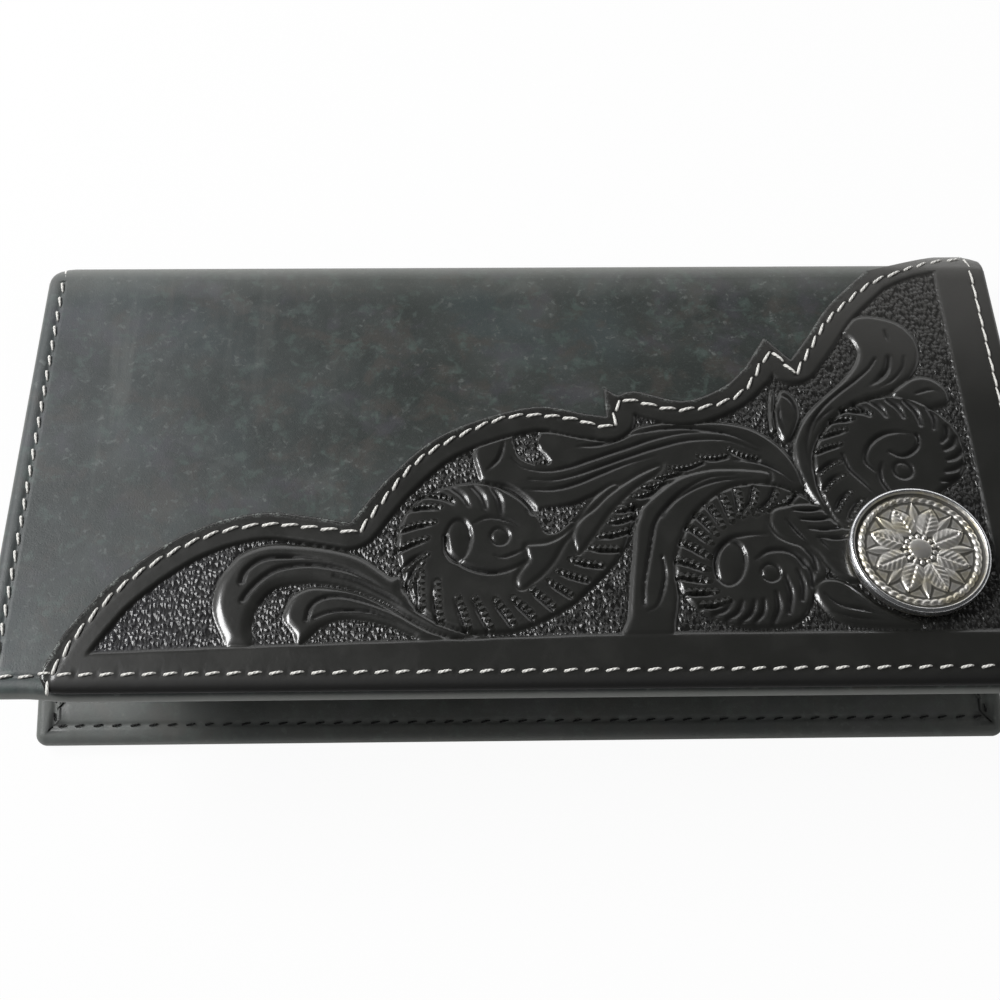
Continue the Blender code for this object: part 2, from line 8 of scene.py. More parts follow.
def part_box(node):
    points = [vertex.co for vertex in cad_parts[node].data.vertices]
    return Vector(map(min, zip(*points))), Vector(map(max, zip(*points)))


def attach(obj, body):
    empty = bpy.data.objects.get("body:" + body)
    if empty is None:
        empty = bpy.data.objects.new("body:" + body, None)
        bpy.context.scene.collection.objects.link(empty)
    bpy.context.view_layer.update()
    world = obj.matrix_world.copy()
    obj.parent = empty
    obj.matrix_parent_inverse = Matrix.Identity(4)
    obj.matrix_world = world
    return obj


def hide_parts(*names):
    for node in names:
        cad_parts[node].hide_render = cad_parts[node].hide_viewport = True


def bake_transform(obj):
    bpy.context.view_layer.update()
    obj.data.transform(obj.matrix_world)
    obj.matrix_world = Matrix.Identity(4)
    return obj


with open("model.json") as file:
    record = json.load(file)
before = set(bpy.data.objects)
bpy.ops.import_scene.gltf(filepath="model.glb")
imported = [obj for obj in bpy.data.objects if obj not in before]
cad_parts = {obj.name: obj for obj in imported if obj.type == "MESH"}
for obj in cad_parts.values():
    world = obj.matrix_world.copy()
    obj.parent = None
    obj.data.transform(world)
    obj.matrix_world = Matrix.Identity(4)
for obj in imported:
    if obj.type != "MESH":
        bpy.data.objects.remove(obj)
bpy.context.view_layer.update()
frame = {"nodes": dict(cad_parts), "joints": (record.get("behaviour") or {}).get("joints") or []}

mm = 0.001
print("frame loaded:", len(frame["nodes"]), "nodes")

# the wallet's measures come from the frame's joints and from the back cover
joints = {joint["name"]: Vector(joint["pos_m"]) for joint in frame["joints"]}
backAxis, frontAxis = joints["back_crease"], joints["front_crease"]
opening = 2 * atan2(frontAxis.y - backAxis.y, frontAxis.z - backAxis.z)
reach = (frontAxis - backAxis).length / 2
closedThick = 2 * (backAxis.z + reach)
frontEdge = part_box("back_cover")[0].y
halfDepth = backAxis.y - reach - frontEdge
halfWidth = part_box("back_cover")[1].x

leather = {
    "cover": 1.2 * mm,
    "turned": 0.8 * mm,
    "edge": 3.65 * mm,
    "corner": 2.2 * mm,
    "flange": 5.0 * mm,
    "flangeFront": 8.6 * mm,
    "creaseGap": 0.01 * mm,
    "rowInset": 3.2 * mm,
    "innerRow": 3.65 * mm,
    "reach": 0.65 * mm,
    "reachFrom": 3.0 * mm,
    "reachTo": 12.0 * mm,
    "channel": 0.75 * mm,
    "channelFront": 0.12 * mm,
    "endLength": 4.5 * mm,
    "endDraw": 2.0 * mm,
}
foldLength = pi * (closedThick - leather["cover"]) / 2
foldRadius = foldLength / (pi - opening)
foldMiddle = foldLength / 2
creaseLine = halfDepth - leather["creaseGap"]


def smoothStep(values, low, high):
    share = np.clip((values - low) / (high - low), 0, 1)
    return share * share * (3 - 2 * share)


def rounding(share):
    # how far a quarter-round edge has dropped at a share of its width, as a share of its depth
    return 1 - np.sqrt(np.clip(1 - (1 - np.clip(share, 0, 1)) ** 2, 0, 1))


# pieces are drawn in the closed wallet, as (along the fold, in from the open edge, inwards from the face);
# the next functions bring them to where they rest
def reachOut(v, most=1.0):
    # both open edges swell a little past the solids' straight edges
    return v - leather["reach"] * most * (1 - smoothStep(v, leather["reachFrom"], leather["reachTo"]))


def onBack(spots):
    return np.stack([spots[:, 0], frontEdge + reachOut(spots[:, 1]), spots[:, 2]], 1)


def onFront(spots):
    # the front half lies face down on the back half when closed, and is turned open about its crease
    most = smoothStep(spots[:, 0], -halfWidth + 8 * mm, -halfWidth + 16 * mm)
    away = reachOut(spots[:, 1], most) - (halfDepth + reach)
    up = closedThick / 2 - reach - spots[:, 2]
    return np.stack([spots[:, 0],
                     frontAxis.y + away * cos(opening) + up * sin(opening),
                     frontAxis.z - away * sin(opening) + up * cos(opening)], 1)


def roundFold(spots):
    # here the second measure goes from the back crease round the fold, and the two ends are drawn in
    angle = spots[:, 1] / foldRadius
    middle = foldRadius + leather["cover"] / 2
    radius = middle - spots[:, 2]
    past = np.clip(np.abs(spots[:, 0]) - (halfWidth - leather["endLength"]), 0, None) / leather["endLength"]
    drawn = leather["endDraw"] * past ** 2 * np.sin(angle) ** 3
    return np.stack([spots[:, 0],
                     frontEdge + halfDepth + radius * np.sin(angle) - drawn,
                     middle - radius * np.cos(angle)], 1)


def chooseOnly(*pieces):
    # selects these pieces alone, the first one active
    if bpy.context.object and bpy.context.object.mode != "OBJECT":
        bpy.ops.object.mode_set(mode="OBJECT")
    bpy.ops.object.select_all(action="DESELECT")
    for piece in pieces:
        piece.select_set(True)
    if pieces:
        bpy.context.view_layer.objects.active = pieces[0]


def editWhole(piece, operator, **settings):
    # runs one edit operator on all of a piece
    chooseOnly(piece)
    bpy.ops.object.mode_set(mode="EDIT")
    bpy.ops.mesh.select_all(action="SELECT")
    operator(**settings)
    bpy.ops.object.mode_set(mode="OBJECT")


def editChosen(piece, mode, chosen, *steps):
    # selects what these masks say, and runs edit operators, each with its settings, in that select mode
    chooseOnly(piece)
    for kind in ("vertices", "edges", "polygons"):
        items = getattr(piece.data, kind)
        items.foreach_set("select", chosen.get(kind, np.zeros(len(items), bool)))
    bpy.context.tool_settings.mesh_select_mode = [mode == kind for kind in ("VERT", "EDGE", "FACE")]
    bpy.ops.object.mode_set(mode="EDIT")
    for operator, settings in steps:
        operator(**settings)
    bpy.ops.mesh.select_mode(type="VERT")
    bpy.ops.object.mode_set(mode="OBJECT")


def readMesh(items, name, width, kind=float):
    flat = np.zeros(len(items) * width, kind)
    items.foreach_get(name, flat)
    return flat.reshape(-1, width)


def readPoints(piece):
    return readMesh(piece.data.vertices, "co", 3)


def writePoints(piece, spots):
    piece.data.vertices.foreach_set("co", np.asarray(spots, float).ravel())
    piece.data.update()


def addModifier(piece, kind, **settings):
    modifier = piece.modifiers.new(kind.lower(), kind)
    for key, value in settings.items():
        setattr(modifier, key, value)
    chooseOnly(piece)
    bpy.ops.object.modifier_apply(modifier=modifier.name)


def startGrid(name, columns, rows):
    # flat grid whose points are (column, row) counts, to be moved to their stations
    chooseOnly()
    bpy.ops.mesh.primitive_grid_add(x_subdivisions=columns, y_subdivisions=rows, size=1, calc_uvs=False)
    piece = bpy.context.object
    piece.name = piece.data.name = name
    spots = readPoints(piece)
    spots[:, 0] = np.round((spots[:, 0] + 0.5) * columns)
    spots[:, 1] = np.round((spots[:, 1] + 0.5) * rows)
    writePoints(piece, spots)
    return piece


def mergeClose(piece, gap=0.001 * mm):
    editWhole(piece, bpy.ops.mesh.remove_doubles, threshold=gap)


def faceOutwards(piece):
    # turns the faces of a piece whose signed volume is negative
    piece.data.calc_loop_triangles()
    spots = readPoints(piece)
    corners = readMesh(piece.data.loop_triangles, "vertices", 3, int)
    a, b, c = (spots[corners[:, k]] - spots[0] for k in range(3))
    if np.einsum("ij,ij->i", a, np.cross(b, c)).sum() < 0:
        editWhole(piece, bpy.ops.mesh.flip_normals)


def setAttribute(piece, name, values):
    layer = piece.data.attributes.new(name, "FLOAT", "POINT")
    layer.data.foreach_set("value", np.asarray(values, np.float32))


def dress(piece, finish, node=None, body=None, angle=40):
    # gives a piece its material, the solid that it stands for and the body that it rides on
    material, slot = finish
    chooseOnly(piece)
    bpy.ops.object.shade_smooth_by_angle(angle=radians(angle))
    piece.data.materials.clear()
    piece.data.materials.append(material)
    if node:
        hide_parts(node)
    if body:
        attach(piece, body)
    return piece


def settle(piece, place, finish, node, body=None, angle=40):
    # moves a piece drawn in the closed wallet to where it rests, and dresses it
    writePoints(piece, place(readPoints(piece)))
    faceOutwards(piece)
    return dress(piece, finish, node, body, angle)


def bendWithFold(piece, bodies, low, high, height=0.0):
    # works out two places round the fold for a fold piece, which are not used, and bakes its place into its
    # mesh
    start, end = roundFold(np.array([[0, low, height], [0, high, height]]))
    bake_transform(piece)


def smoothLine(points, steps=5, closed=False):
    # a curve through the points
    points = np.asarray(points, float)
    if closed:
        ends = np.vstack([points[-1], points, points[0], points[1]])
    else:
        ends = np.vstack([2 * points[0] - points[1], points, 2 * points[-1] - points[-2]])
    share = np.arange(steps)[:, None] / steps
    line = []
    for a, b, c, d in zip(ends, ends[1:], ends[2:], ends[3:]):
        line.append(0.5 * (2 * b + (c - a) * share + (2 * a - 5 * b + 4 * c - d) * share ** 2
                           + (3 * b - a - 3 * c + d) * share ** 3))
    if not closed:
        line.append(points[-1:])
    return np.vstack(line)


def nearLine(spots, line):
    # distance to a line, and how far along it the nearest place is
    best = np.full(len(spots), 1e9)
    run = np.zeros(len(spots))
    start = 0.0
    for a, b in zip(line, line[1:]):
        step = b - a
        size = np.hypot(step[0], step[1])
        if size < 1e-9:
            continue
        share = np.clip(((spots - a) @ step) / size ** 2, 0, 1)
        gap = np.hypot(spots[:, 0] - a[0] - share * step[0], spots[:, 1] - a[1] - share * step[1])
        closer = gap < best
        best[closer] = gap[closer]
        run[closer] = start + share[closer] * size
        start += size
    return best, run


def alongLine(line, marks):
    # the places at these distances along a line
    run = np.concatenate([[0], np.cumsum(np.hypot(*np.diff(line, axis=0).T))])
    return np.stack([np.interp(marks, run, line[:, k]) for k in range(2)], 1)


class Wire:
    # a shader socket that can stand in sums
    def __init__(self, tree, socket=None):
        self.tree = tree
        self.socket = socket

    def node(self, kind, settings=None, sockets=None, output=0):
        made = self.tree.nodes.new(kind)
        for key, value in (settings or {}).items():
            setattr(made, key, value)
        for key, value in (sockets or {}).items():
            if isinstance(value, Wire):
                self.tree.links.new(value.socket, made.inputs[key])
            else:
                made.inputs[key].default_value = value
        return None if output is None else Wire(self.tree, made.outputs[output])

    def maths(self, operation, *values):
        return self.node("ShaderNodeMath", {"operation": operation}, dict(enumerate((self, *values))))

    def __add__(self, other):
        return self.maths("ADD", other)

    def __sub__(self, other):
        return self.maths("SUBTRACT", other)

    def __rsub__(self, other):
        return self.node("ShaderNodeMath", {"operation": "SUBTRACT"}, {0: other, 1: self})

    def __mul__(self, other):
        return self.maths("MULTIPLY", other)

    def __truediv__(self, other):
        return self.maths("DIVIDE", other)

    __radd__ = __add__
    __rmul__ = __mul__

    def between(self, low, high, first=0.0, last=1.0, curve="SMOOTHSTEP"):
        # goes from first to last as this goes from low to high
        return self.node("ShaderNodeMapRange", {"interpolation_type": curve},
                         {"Value": self, "From Min": low, "From Max": high, "To Min": first, "To Max": last})

    def mixColour(self, first, second):
        # this wire is the share of the second colour
        first, second = (value if isinstance(value, Wire) else (*value, 1) for value in (first, second))
        return self.node("ShaderNodeMix", {"data_type": "RGBA"}, {0: self, 6: first, 7: second}, 2)

    def attribute(self, name):
        return self.node("ShaderNodeAttribute", {"attribute_name": name}, output=2)

    def place(self, turn=(0, 0, 0), scale=(1, 1, 1)):
        # object coordinates, turned and stretched
        spot = self.node("ShaderNodeTexCoord", output=3)
        return self.node("ShaderNodeMapping", {"vector_type": "POINT"},
                         {"Vector": spot, "Rotation": turn, "Scale": scale})

    def axis(self, number):
        return self.node("ShaderNodeSeparateXYZ", {}, {"Vector": self}, number)

    def noise(self, scale, detail=3.0, rough=0.5, distortion=0.0):
        return self.node("ShaderNodeTexNoise", {"noise_dimensions": "3D"},
                         {"Vector": self, "Scale": scale, "Detail": detail, "Roughness": rough,
                          "Distortion": distortion})

    def pores(self, scale):
        cells = self.node("ShaderNodeTexVoronoi", {"feature": "F1"}, {"Vector": self, "Scale": scale})
        return cells.between(0.0, 0.6)

    def bump(self, distance, under=None):
        # this height pressed into the surface, over another bump
        sockets = {"Height": self, "Distance": distance, "Strength": 1.0}
        if under is not None:
            sockets["Normal"] = under
        return self.node("ShaderNodeBump", {}, sockets)

    def tinted(self, colour, look, layers):
        # lays the look's tones over a colour where a noise at this place is high
        for tone, noise, low, high, share in layers:
            colour = (self.noise(*noise).between(low, high) * share).mixColour(colour, look[tone])
        return colour


def newMaterial(name, fixed):
    # a material, a wire on its tree, and a call that links what varies to its shader
    material = bpy.data.materials.new(name)
    material.use_nodes = True
    tree = material.node_tree
    shader = tree.nodes["Principled BSDF"]
    for key, value in fixed.items():
        shader.inputs[key].default_value = value

    def varies(**sockets):
        for key, value in sockets.items():
            tree.links.new(value.socket, shader.inputs[key.replace("_", " ")])

    return material, Wire(tree), varies


def makeCoverLeather():
    # waxed pull-up leather, charcoal with a green cast, scuffed paler and bluish in patches
    look = {
        "dark": (0.0180, 0.0232, 0.0208),
        "plain": (0.0310, 0.0370, 0.0342),
        "scuff": (0.092, 0.104, 0.098),
        "blue": (0.034, 0.050, 0.053),
        "green": (0.046, 0.066, 0.058),
        "warm": (0.046, 0.040, 0.034),
        "rust": (0.082, 0.064, 0.055),
        "bent": (0.225, 0.232, 0.216),
        "left": (0.124, 0.137, 0.151),
        "violet": (0.048, 0.045, 0.056),
        "seam": (0.004, 0.005, 0.005),
        # tone, noise (scale, detail, roughness, distortion), its low and high, and how much of the tone shows
        "mottling": (
            ("blue", (52, 2, 0.5), 0.50, 0.72, 0.45),
            ("warm", (130, 4, 0.6, 0.5), 0.50, 0.68, 0.60),
            ("violet", (85, 4, 0.6, 0.2), 0.52, 0.66, 0.50),
            ("green", (310, 5, 0.66, 0.35), 0.52, 0.68, 0.80),
        ),
        "dust": (
            ("scuff", (620, 3, 0.7), 0.56, 0.76, 0.25),
            ("scuff", (1700, 4, 0.75), 0.54, 0.78, 0.45),
        ),
        "pores": 0.000012,
        "creases": 0.000035,
        "scratches": 0.000015,
    }
    material, wire, varies = newMaterial("waxedCoverLeather", {"Specular IOR Level": 0.5})
    place = wire.place()
    patches = place.noise(95, 5, 0.62, 0.6)
    scratches = wire.place((0, 0, 0.35), (90, 900, 300)).noise(1.0, 4, 0.6).between(0.66, 0.80)
    crossing = wire.place((0, 0, 1.9), (70, 1100, 300)).noise(1.0, 4, 0.6).between(0.66, 0.80)
    scratches = scratches.maths("MAXIMUM", crossing)
    colour = place.noise(38, 4, 0.55, 0.3).between(0.34, 0.66).mixColour(look["dark"], look["plain"])
    colour = (patches.between(0.52, 0.74) * 0.30).mixColour(colour, look["scuff"])
    colour = place.tinted(colour, look, look["mottling"])
    flecks = place.noise(640, 4, 0.62, 0.3).between(0.57, 0.70) * patches.between(0.40, 0.60)
    colour = (flecks * 0.90).mixColour(colour, look["scuff"])
    # painted sheen: the cover is paler and bluer towards its left end, with pale streaks there
    left = place.axis(0).between(-5 * mm, -halfWidth)
    colour = (left * (0.10 + patches * 0.18)).mixColour(colour, look["left"])
    streaks = wire.place((0, 0, 0.1), (210, 13, 60)).noise(1.0, 3, 0.6).between(0.52, 0.72)
    colour = (streaks * left * 0.15).mixColour(colour, look["bent"])
    colour = place.tinted(colour, look, look["dust"])
    rust = place.noise(900, 4, 0.7, 0.5).between(0.60, 0.76) * place.noise(60, 2, 0.5).between(0.45, 0.65)
    colour = (rust * 0.5).mixColour(colour, look["rust"])
    colour = (scratches * 0.22).mixColour(colour, look["scuff"])
    # paler where the covers and fold are painted pale: wear, with painted highlight, sheen and light
    colour = (wire.attribute("wearAndSheen") * (0.65 + patches * 0.5)).mixColour(colour, look["bent"])
    colour = wire.attribute("seam").mixColour(colour, look["seam"])
    normal = place.noise(420, 6, 0.62, 0.8).bump(look["creases"])
    normal = place.pores(2600.0).bump(look["pores"], normal)
    normal = scratches.bump(look["scratches"], normal)
    rough = 0.46 + patches.between(0.4, 0.7) * 0.12 - scratches * 0.08
    varies(Base_Color=colour, Roughness=rough, Normal=normal)
    return material, "waxed_cover_leather"


def makeYokeLeather():
    # black tooling leather: smooth burnished motifs, a pebbled ground and beaded cuts
    look = {
        "top": (0.0124, 0.0126, 0.0112),
        "wearAndSheen": (0.0180, 0.0180, 0.0158),
        "ground": (0.0185, 0.0185, 0.0176),
        "near": (0.0600, 0.0590, 0.0560),
        "bent": (0.165, 0.163, 0.155),
        "cut": (0.0030, 0.0029, 0.0027),
        "burnish": 0.90,
        "leftSheen": (0.046, 0.046, 0.054),
        "cutEdge": (0.0090, 0.0088, 0.0078),
        "fuzz": (0.185, 0.205, 0.192),
        "pebbleSize": 0.72 * mm,
        "pebbleShape": 0.62,
        "pebbleHeight": 0.00020,
        "beadPitch": 0.88 * mm,
        "beadHeight": 0.00021,
        # painted shade along the rolled-down open edge
        "wrinkles": 0.000035,
        "frayed": 0.00035,
    }
    fixed = {"Specular IOR Level": 0.4, "Coat Roughness": 0.14}
    material, wire, varies = newMaterial("tooledBlackLeather", fixed)
    place = wire.place()
    masks = ("ground", "beads", "cuts", "cutEdge", "rim")
    ground, beads, cuts, edge, rim = (wire.attribute(name) for name in masks)
    size = 1 / look["pebbleSize"]
    stretched = wire.node("ShaderNodeMapping", {}, {"Vector": wire.place((opening, 0, 0)),
                                                    "Scale": (size, size * look["pebbleShape"], 0)})
    swirl = wire.node("ShaderNodeTexNoise", {"noise_dimensions": "2D"},
                      {"Vector": stretched, "Scale": 0.35}, 1)
    stretched = wire.node("ShaderNodeVectorMath", {"operation": "ADD"}, {0: stretched, 1: swirl})
    cells = wire.node("ShaderNodeTexVoronoi",
                      {"feature": "F1", "voronoi_dimensions": "2D", "distance": "MANHATTAN"},
                      {"Vector": stretched, "Scale": 1.0, "Randomness": 0.85})
    pebbles = cells.between(0.78, 0.04, curve="LINEAR")
    # each bead is a small four-sided point
    step = (wire.attribute("beadRun") / look["beadPitch"]).maths("FRACT") - 0.5
    beadTops = (beads - 2 * step.maths("ABSOLUTE")).maths("MAXIMUM", 0.0)
    beaded = beads.between(0.05, 0.45)
    clouds = place.noise(140, 4, 0.6, 0.4)
    colour = (clouds.between(0.45, 0.75) * 0.5).mixColour(look["top"], look["wearAndSheen"])
    colour = ground.mixColour(colour, look["ground"])
    # painted sheen: paler towards the crease and over the fold, and paler and cooler on the ground at the
    # left
    away = place.axis(1)
    near = away.between(6 * mm, 44 * mm)
    colour = (near * 0.9).mixColour(colour, look["near"])
    colour = (away.between(39 * mm, 47.5 * mm) * 0.9).mixColour(colour, look["bent"])
    left = place.axis(0).between(-30 * mm, -80 * mm)
    colour = (ground * left * 0.5).mixColour(colour, look["leftSheen"])
    # painted shade between the pebbles
    colour = (ground * pebbles.between(0.5, 0.1) * 0.6).mixColour(colour, look["cut"])
    # painted shade in the cuts, seed rings, border line and stitch holes, and along the rolled-down open edge
    colour = (cuts * 0.85).maths("MAXIMUM", rim).mixColour(colour, look["cut"])
    colour = (edge * place.noise(700, 4, 0.7).between(0.35, 0.7)).mixColour(colour, look["cutEdge"])
    fuzz = place.noise(380, 6, 0.72).between(0.48, 0.56) * place.noise(2300, 3, 0.7).between(0.46, 0.58)
    colour = (edge * fuzz).mixColour(colour, look["fuzz"])
    normal = place.noise(900, 5, 0.6, 0.5).bump(look["wrinkles"])
    taller = place.noise(420, 3, 0.6).between(0.3, 0.7, 0.7, 1.2)
    normal = (pebbles * ground * taller * (1 - near * 0.55)).bump(look["pebbleHeight"], normal)
    normal = beadTops.bump(look["beadHeight"], normal)
    normal = (place.noise(1500, 5, 0.75) * edge).bump(look["frayed"], normal)
    rough = 0.37 + clouds.between(0.35, 0.7) * 0.08 + edge * 0.25 - (ground + beaded) * 0.14 + rim * 0.4
    coat = look["burnish"] * (1 - ground) * (1 - beaded) * (1 - cuts * 0.6) * (1 - rim) * (1 - near * 0.7)
    varies(Base_Color=colour, Roughness=rough, Normal=normal, Coat_Weight=coat)
    return material, "tooled_black_leather"


def makeInnerLeather():
    look = {"dark": (0.026, 0.029, 0.0280), "plain": (0.040, 0.044, 0.0425), "scuff": (0.085, 0.092, 0.088),
            "scuffs": (("scuff", (330, 5, 0.7, 0.6), 0.54, 0.72, 0.35),), "waves": 0.00006, "grain": 0.00005}
    material, wire, varies = newMaterial("innerLeather", {"Specular IOR Level": 0.4})
    place = wire.place()
    clouds = place.noise(90, 5, 0.6, 0.4)
    colour = clouds.between(0.3, 0.7).mixColour(look["dark"], look["plain"])
    colour = place.tinted(colour, look, look["scuffs"])
    normal = place.noise(380, 5, 0.6, 0.7).bump(look["waves"])
    normal = place.pores(1900.0).bump(look["grain"], normal)
    varies(Base_Color=colour, Roughness=0.5 + clouds * 0.15, Normal=normal)
    return material, "inner_leather"


def makeLiningCloth():
    # plain weave that follows the sheet's own threads
    look = {"warp": (0.016, 0.017, 0.019), "weft": (0.030, 0.031, 0.034), "pale": (0.045, 0.045, 0.047),
            "pitch": 0.42 * mm, "height": 0.00006}
    material, wire, varies = newMaterial("liningCloth", {"Specular IOR Level": 0.2})
    first, second = ((wire.attribute(name) * (pi / look["pitch"])).maths("SINE")
                     for name in ("across", "along"))
    over = (first * second).between(-0.3, 0.3)
    height = over * first.maths("ABSOLUTE") + (1 - over) * second.maths("ABSOLUTE")
    shade = wire.place().noise(300, 3, 0.6)
    colour = (shade * 0.3).mixColour(over.mixColour(look["weft"], look["warp"]), look["pale"])
    varies(Base_Color=colour, Roughness=0.82 + shade * 0.12, Normal=height.bump(look["height"]))
    return material, "lining_cloth"


def makeThread(name, slot, tone, soilAndShade):
    # waxed twist: fine strands wind along each stitch, with painted shade in the hollows between them, and
    # its ends are darker where they go in
    look = {"strands": 0.00005, "fuzz": 0.00004}
    material, wire, varies = newMaterial(name, {"Specular IOR Level": 0.3})
    along = wire.attribute("alongStitch")
    strands = (along * 22 + wire.attribute("aroundStitch") * (4 * pi)).maths("SINE")
    fuzz = wire.place().noise(2400, 4, 0.7)
    colour = (along.maths("ABSOLUTE").between(0.30, 0.50) * 0.75).mixColour(tone, soilAndShade)
    colour = (strands.between(0.1, -0.9) * 0.25).mixColour(colour, soilAndShade)
    colour = (fuzz.between(0.5, 0.75) * 0.2).mixColour(colour, soilAndShade)
    normal = fuzz.bump(look["fuzz"], strands.bump(look["strands"]))
    varies(Base_Color=colour, Roughness=0.6 + fuzz * 0.2, Normal=normal)
    return material, slot


def makeNickel():
    # aged nickel: bright where it is rubbed, dark and dull in the hollows
    look = {"bright": (0.86, 0.84, 0.80), "warm": (0.78, 0.71, 0.50), "patina": (0.016, 0.015, 0.011),
            "rubbed": (0.90, 0.91, 0.93), "fine": 0.00003, "waves": 0.00008}
    material, wire, varies = newMaterial("agedNickel", {})
    rubbed = wire.attribute("rubbed")
    place = wire.place()
    clouds = place.noise(210, 4, 0.6, 0.4)
    fine = place.noise(1500, 5, 0.65)
    dark = (wire.attribute("hollow") + (clouds - 0.5) * 0.5).between(0.25, 0.85)
    colour = (clouds.between(0.42, 0.66) * 0.70).mixColour(look["bright"], look["warm"])
    colour = (dark * 0.93).mixColour(colour, look["patina"])
    colour = rubbed.mixColour(colour, look["rubbed"])
    rough = 0.34 + fine * 0.14 + dark * 0.2 - rubbed * 0.16
    normal = clouds.bump(look["waves"], fine.bump(look["fine"]))
    varies(Base_Color=colour, Roughness=rough, Metallic=1 - dark * 0.55, Normal=normal)
    return material, "aged_nickel"


def makeClearSheet():
    material, wire, varies = newMaterial("clearSheet", {"Alpha": 0.22, "Base Color": (0.55, 0.58, 0.60, 1),
                                                        "Specular IOR Level": 0.5})
    haze = wire.place().noise(60, 4, 0.6)
    scuffs = wire.place((0, 0, 0.6), (120, 900, 100)).noise(1.0, 3, 0.6)
    varies(Roughness=0.06 + haze * 0.08 + scuffs.between(0.6, 0.75) * 0.25, Normal=haze.bump(0.0002))
    return material, "clear_sheet"


coverLeather = makeCoverLeather()
yokeLeather = makeYokeLeather()
innerLeather = makeInnerLeather()
liningCloth = makeLiningCloth()
whiteThread = makeThread("whiteThread", "white_thread", (0.80, 0.79, 0.755), (0.20, 0.19, 0.17))
blackThread = makeThread("blackThread", "black_thread", (0.018, 0.018, 0.018), (0.006, 0.006, 0.006))
agedNickel = makeNickel()
clearSheet = makeClearSheet()
print("finishes made")


coverRows = {
    "frontCount": 51,
    "sideCount": 24,
    "stationsPerStitch": 3,
    "dimple": 0.22 * mm,
    "dimpleWidth": 0.42 * mm,
    "innerChannel": 0.16 * mm,
    "seamWidth": 0.24 * mm,
    "seamDepth": 0.30 * mm,
    "lip": 0.16 * mm,
    "channelFloor": 0.3 * mm,
    "channelReach": 0.6 * mm,
    "faceRings": 11,
    "topRings": 11,
}
# how pale the cover is painted: wear with a painted highlight at its open edges, wear with painted sheen
# towards the fold, and painted light that lifts the shade on the turned edge
coverWearAndSheen = {
    "edge": 0.75,
    "edgeFrom": 0.75 * mm,
    "edgeFull": 0.1 * mm,
    "fold": 0.24,
    "foldFrom": 6 * mm,
    "foldPast": 1 * mm,
    "turned": 0.40,
    "most": 0.9,
    "seamDark": 1.1,
    "seamReach": 1.6,
}
rowSide = halfWidth - leather["rowInset"]
frontPitch = 2 * rowSide / coverRows["frontCount"]
sidePitch = (halfDepth - leather["rowInset"]) / coverRows["sideCount"]


def edgeProfile(width):
    # (inset from the outer edge, height, share of the leather's thickness), from the face round the edge
    row, lip, round_ = leather["rowInset"], coverRows["lip"], leather["edge"] / 2
    beside = np.array([-1.1, -0.72, -0.45, -0.24, 0, 0.24, 0.45, 0.72, 1.1]) * mm
    thin = leather["turned"] / leather["cover"]
    face = [(row + sidePitch, 0, 1)] + [(row + gap, 0, 1) for gap in beside[::-1]]
    turn = [(round_ - round_ * sin(a), round_ - round_ * cos(a), 1 + (thin - 1) * a / pi)
            for a in np.linspace(0, pi, 13)]
    top = [(leather["innerRow"] + gap, leather["edge"], thin) for gap in beside]
    top += [(width - lip, leather["edge"] - lip / 6, thin), (width, leather["edge"] - lip, thin)]
    return np.array(face + turn + top)


sideProfile = edgeProfile(leather["flange"])
frontProfile = edgeProfile(leather["flangeFront"])


def seamGap(spots):
    # distance to a corner's seam, which slants inwards and then goes straight up the wide front edge's end
    line = np.stack([sideProfile[:, 0], frontProfile[:, 0]], 1)[-coverRows["topRings"]:]
    return nearLine(np.stack([halfWidth - np.abs(spots[:, 0]), spots[:, 1]], 1), line)[0]


def onSeam(spots):
    return (seamGap(spots) < 0.002 * mm) & (spots[:, 2] > leather["edge"] * 0.9)


def cutMitres(piece):
    # the turned edges meet at each corner in a seam, pressed in as a narrow groove
    chosen = onSeam(readPoints(piece))
    ends = readMesh(piece.data.edges, "vertices", 2, int)
    editChosen(piece, "EDGE", {"vertices": chosen, "edges": chosen[ends].all(1)},
               (bpy.ops.mesh.bevel, {"offset": coverRows["seamWidth"], "segments": 2, "affect": "EDGES"}))
    spots = readPoints(piece)
    spots[onSeam(spots), 2] -= coverRows["seamDepth"]
    writePoints(piece, spots)


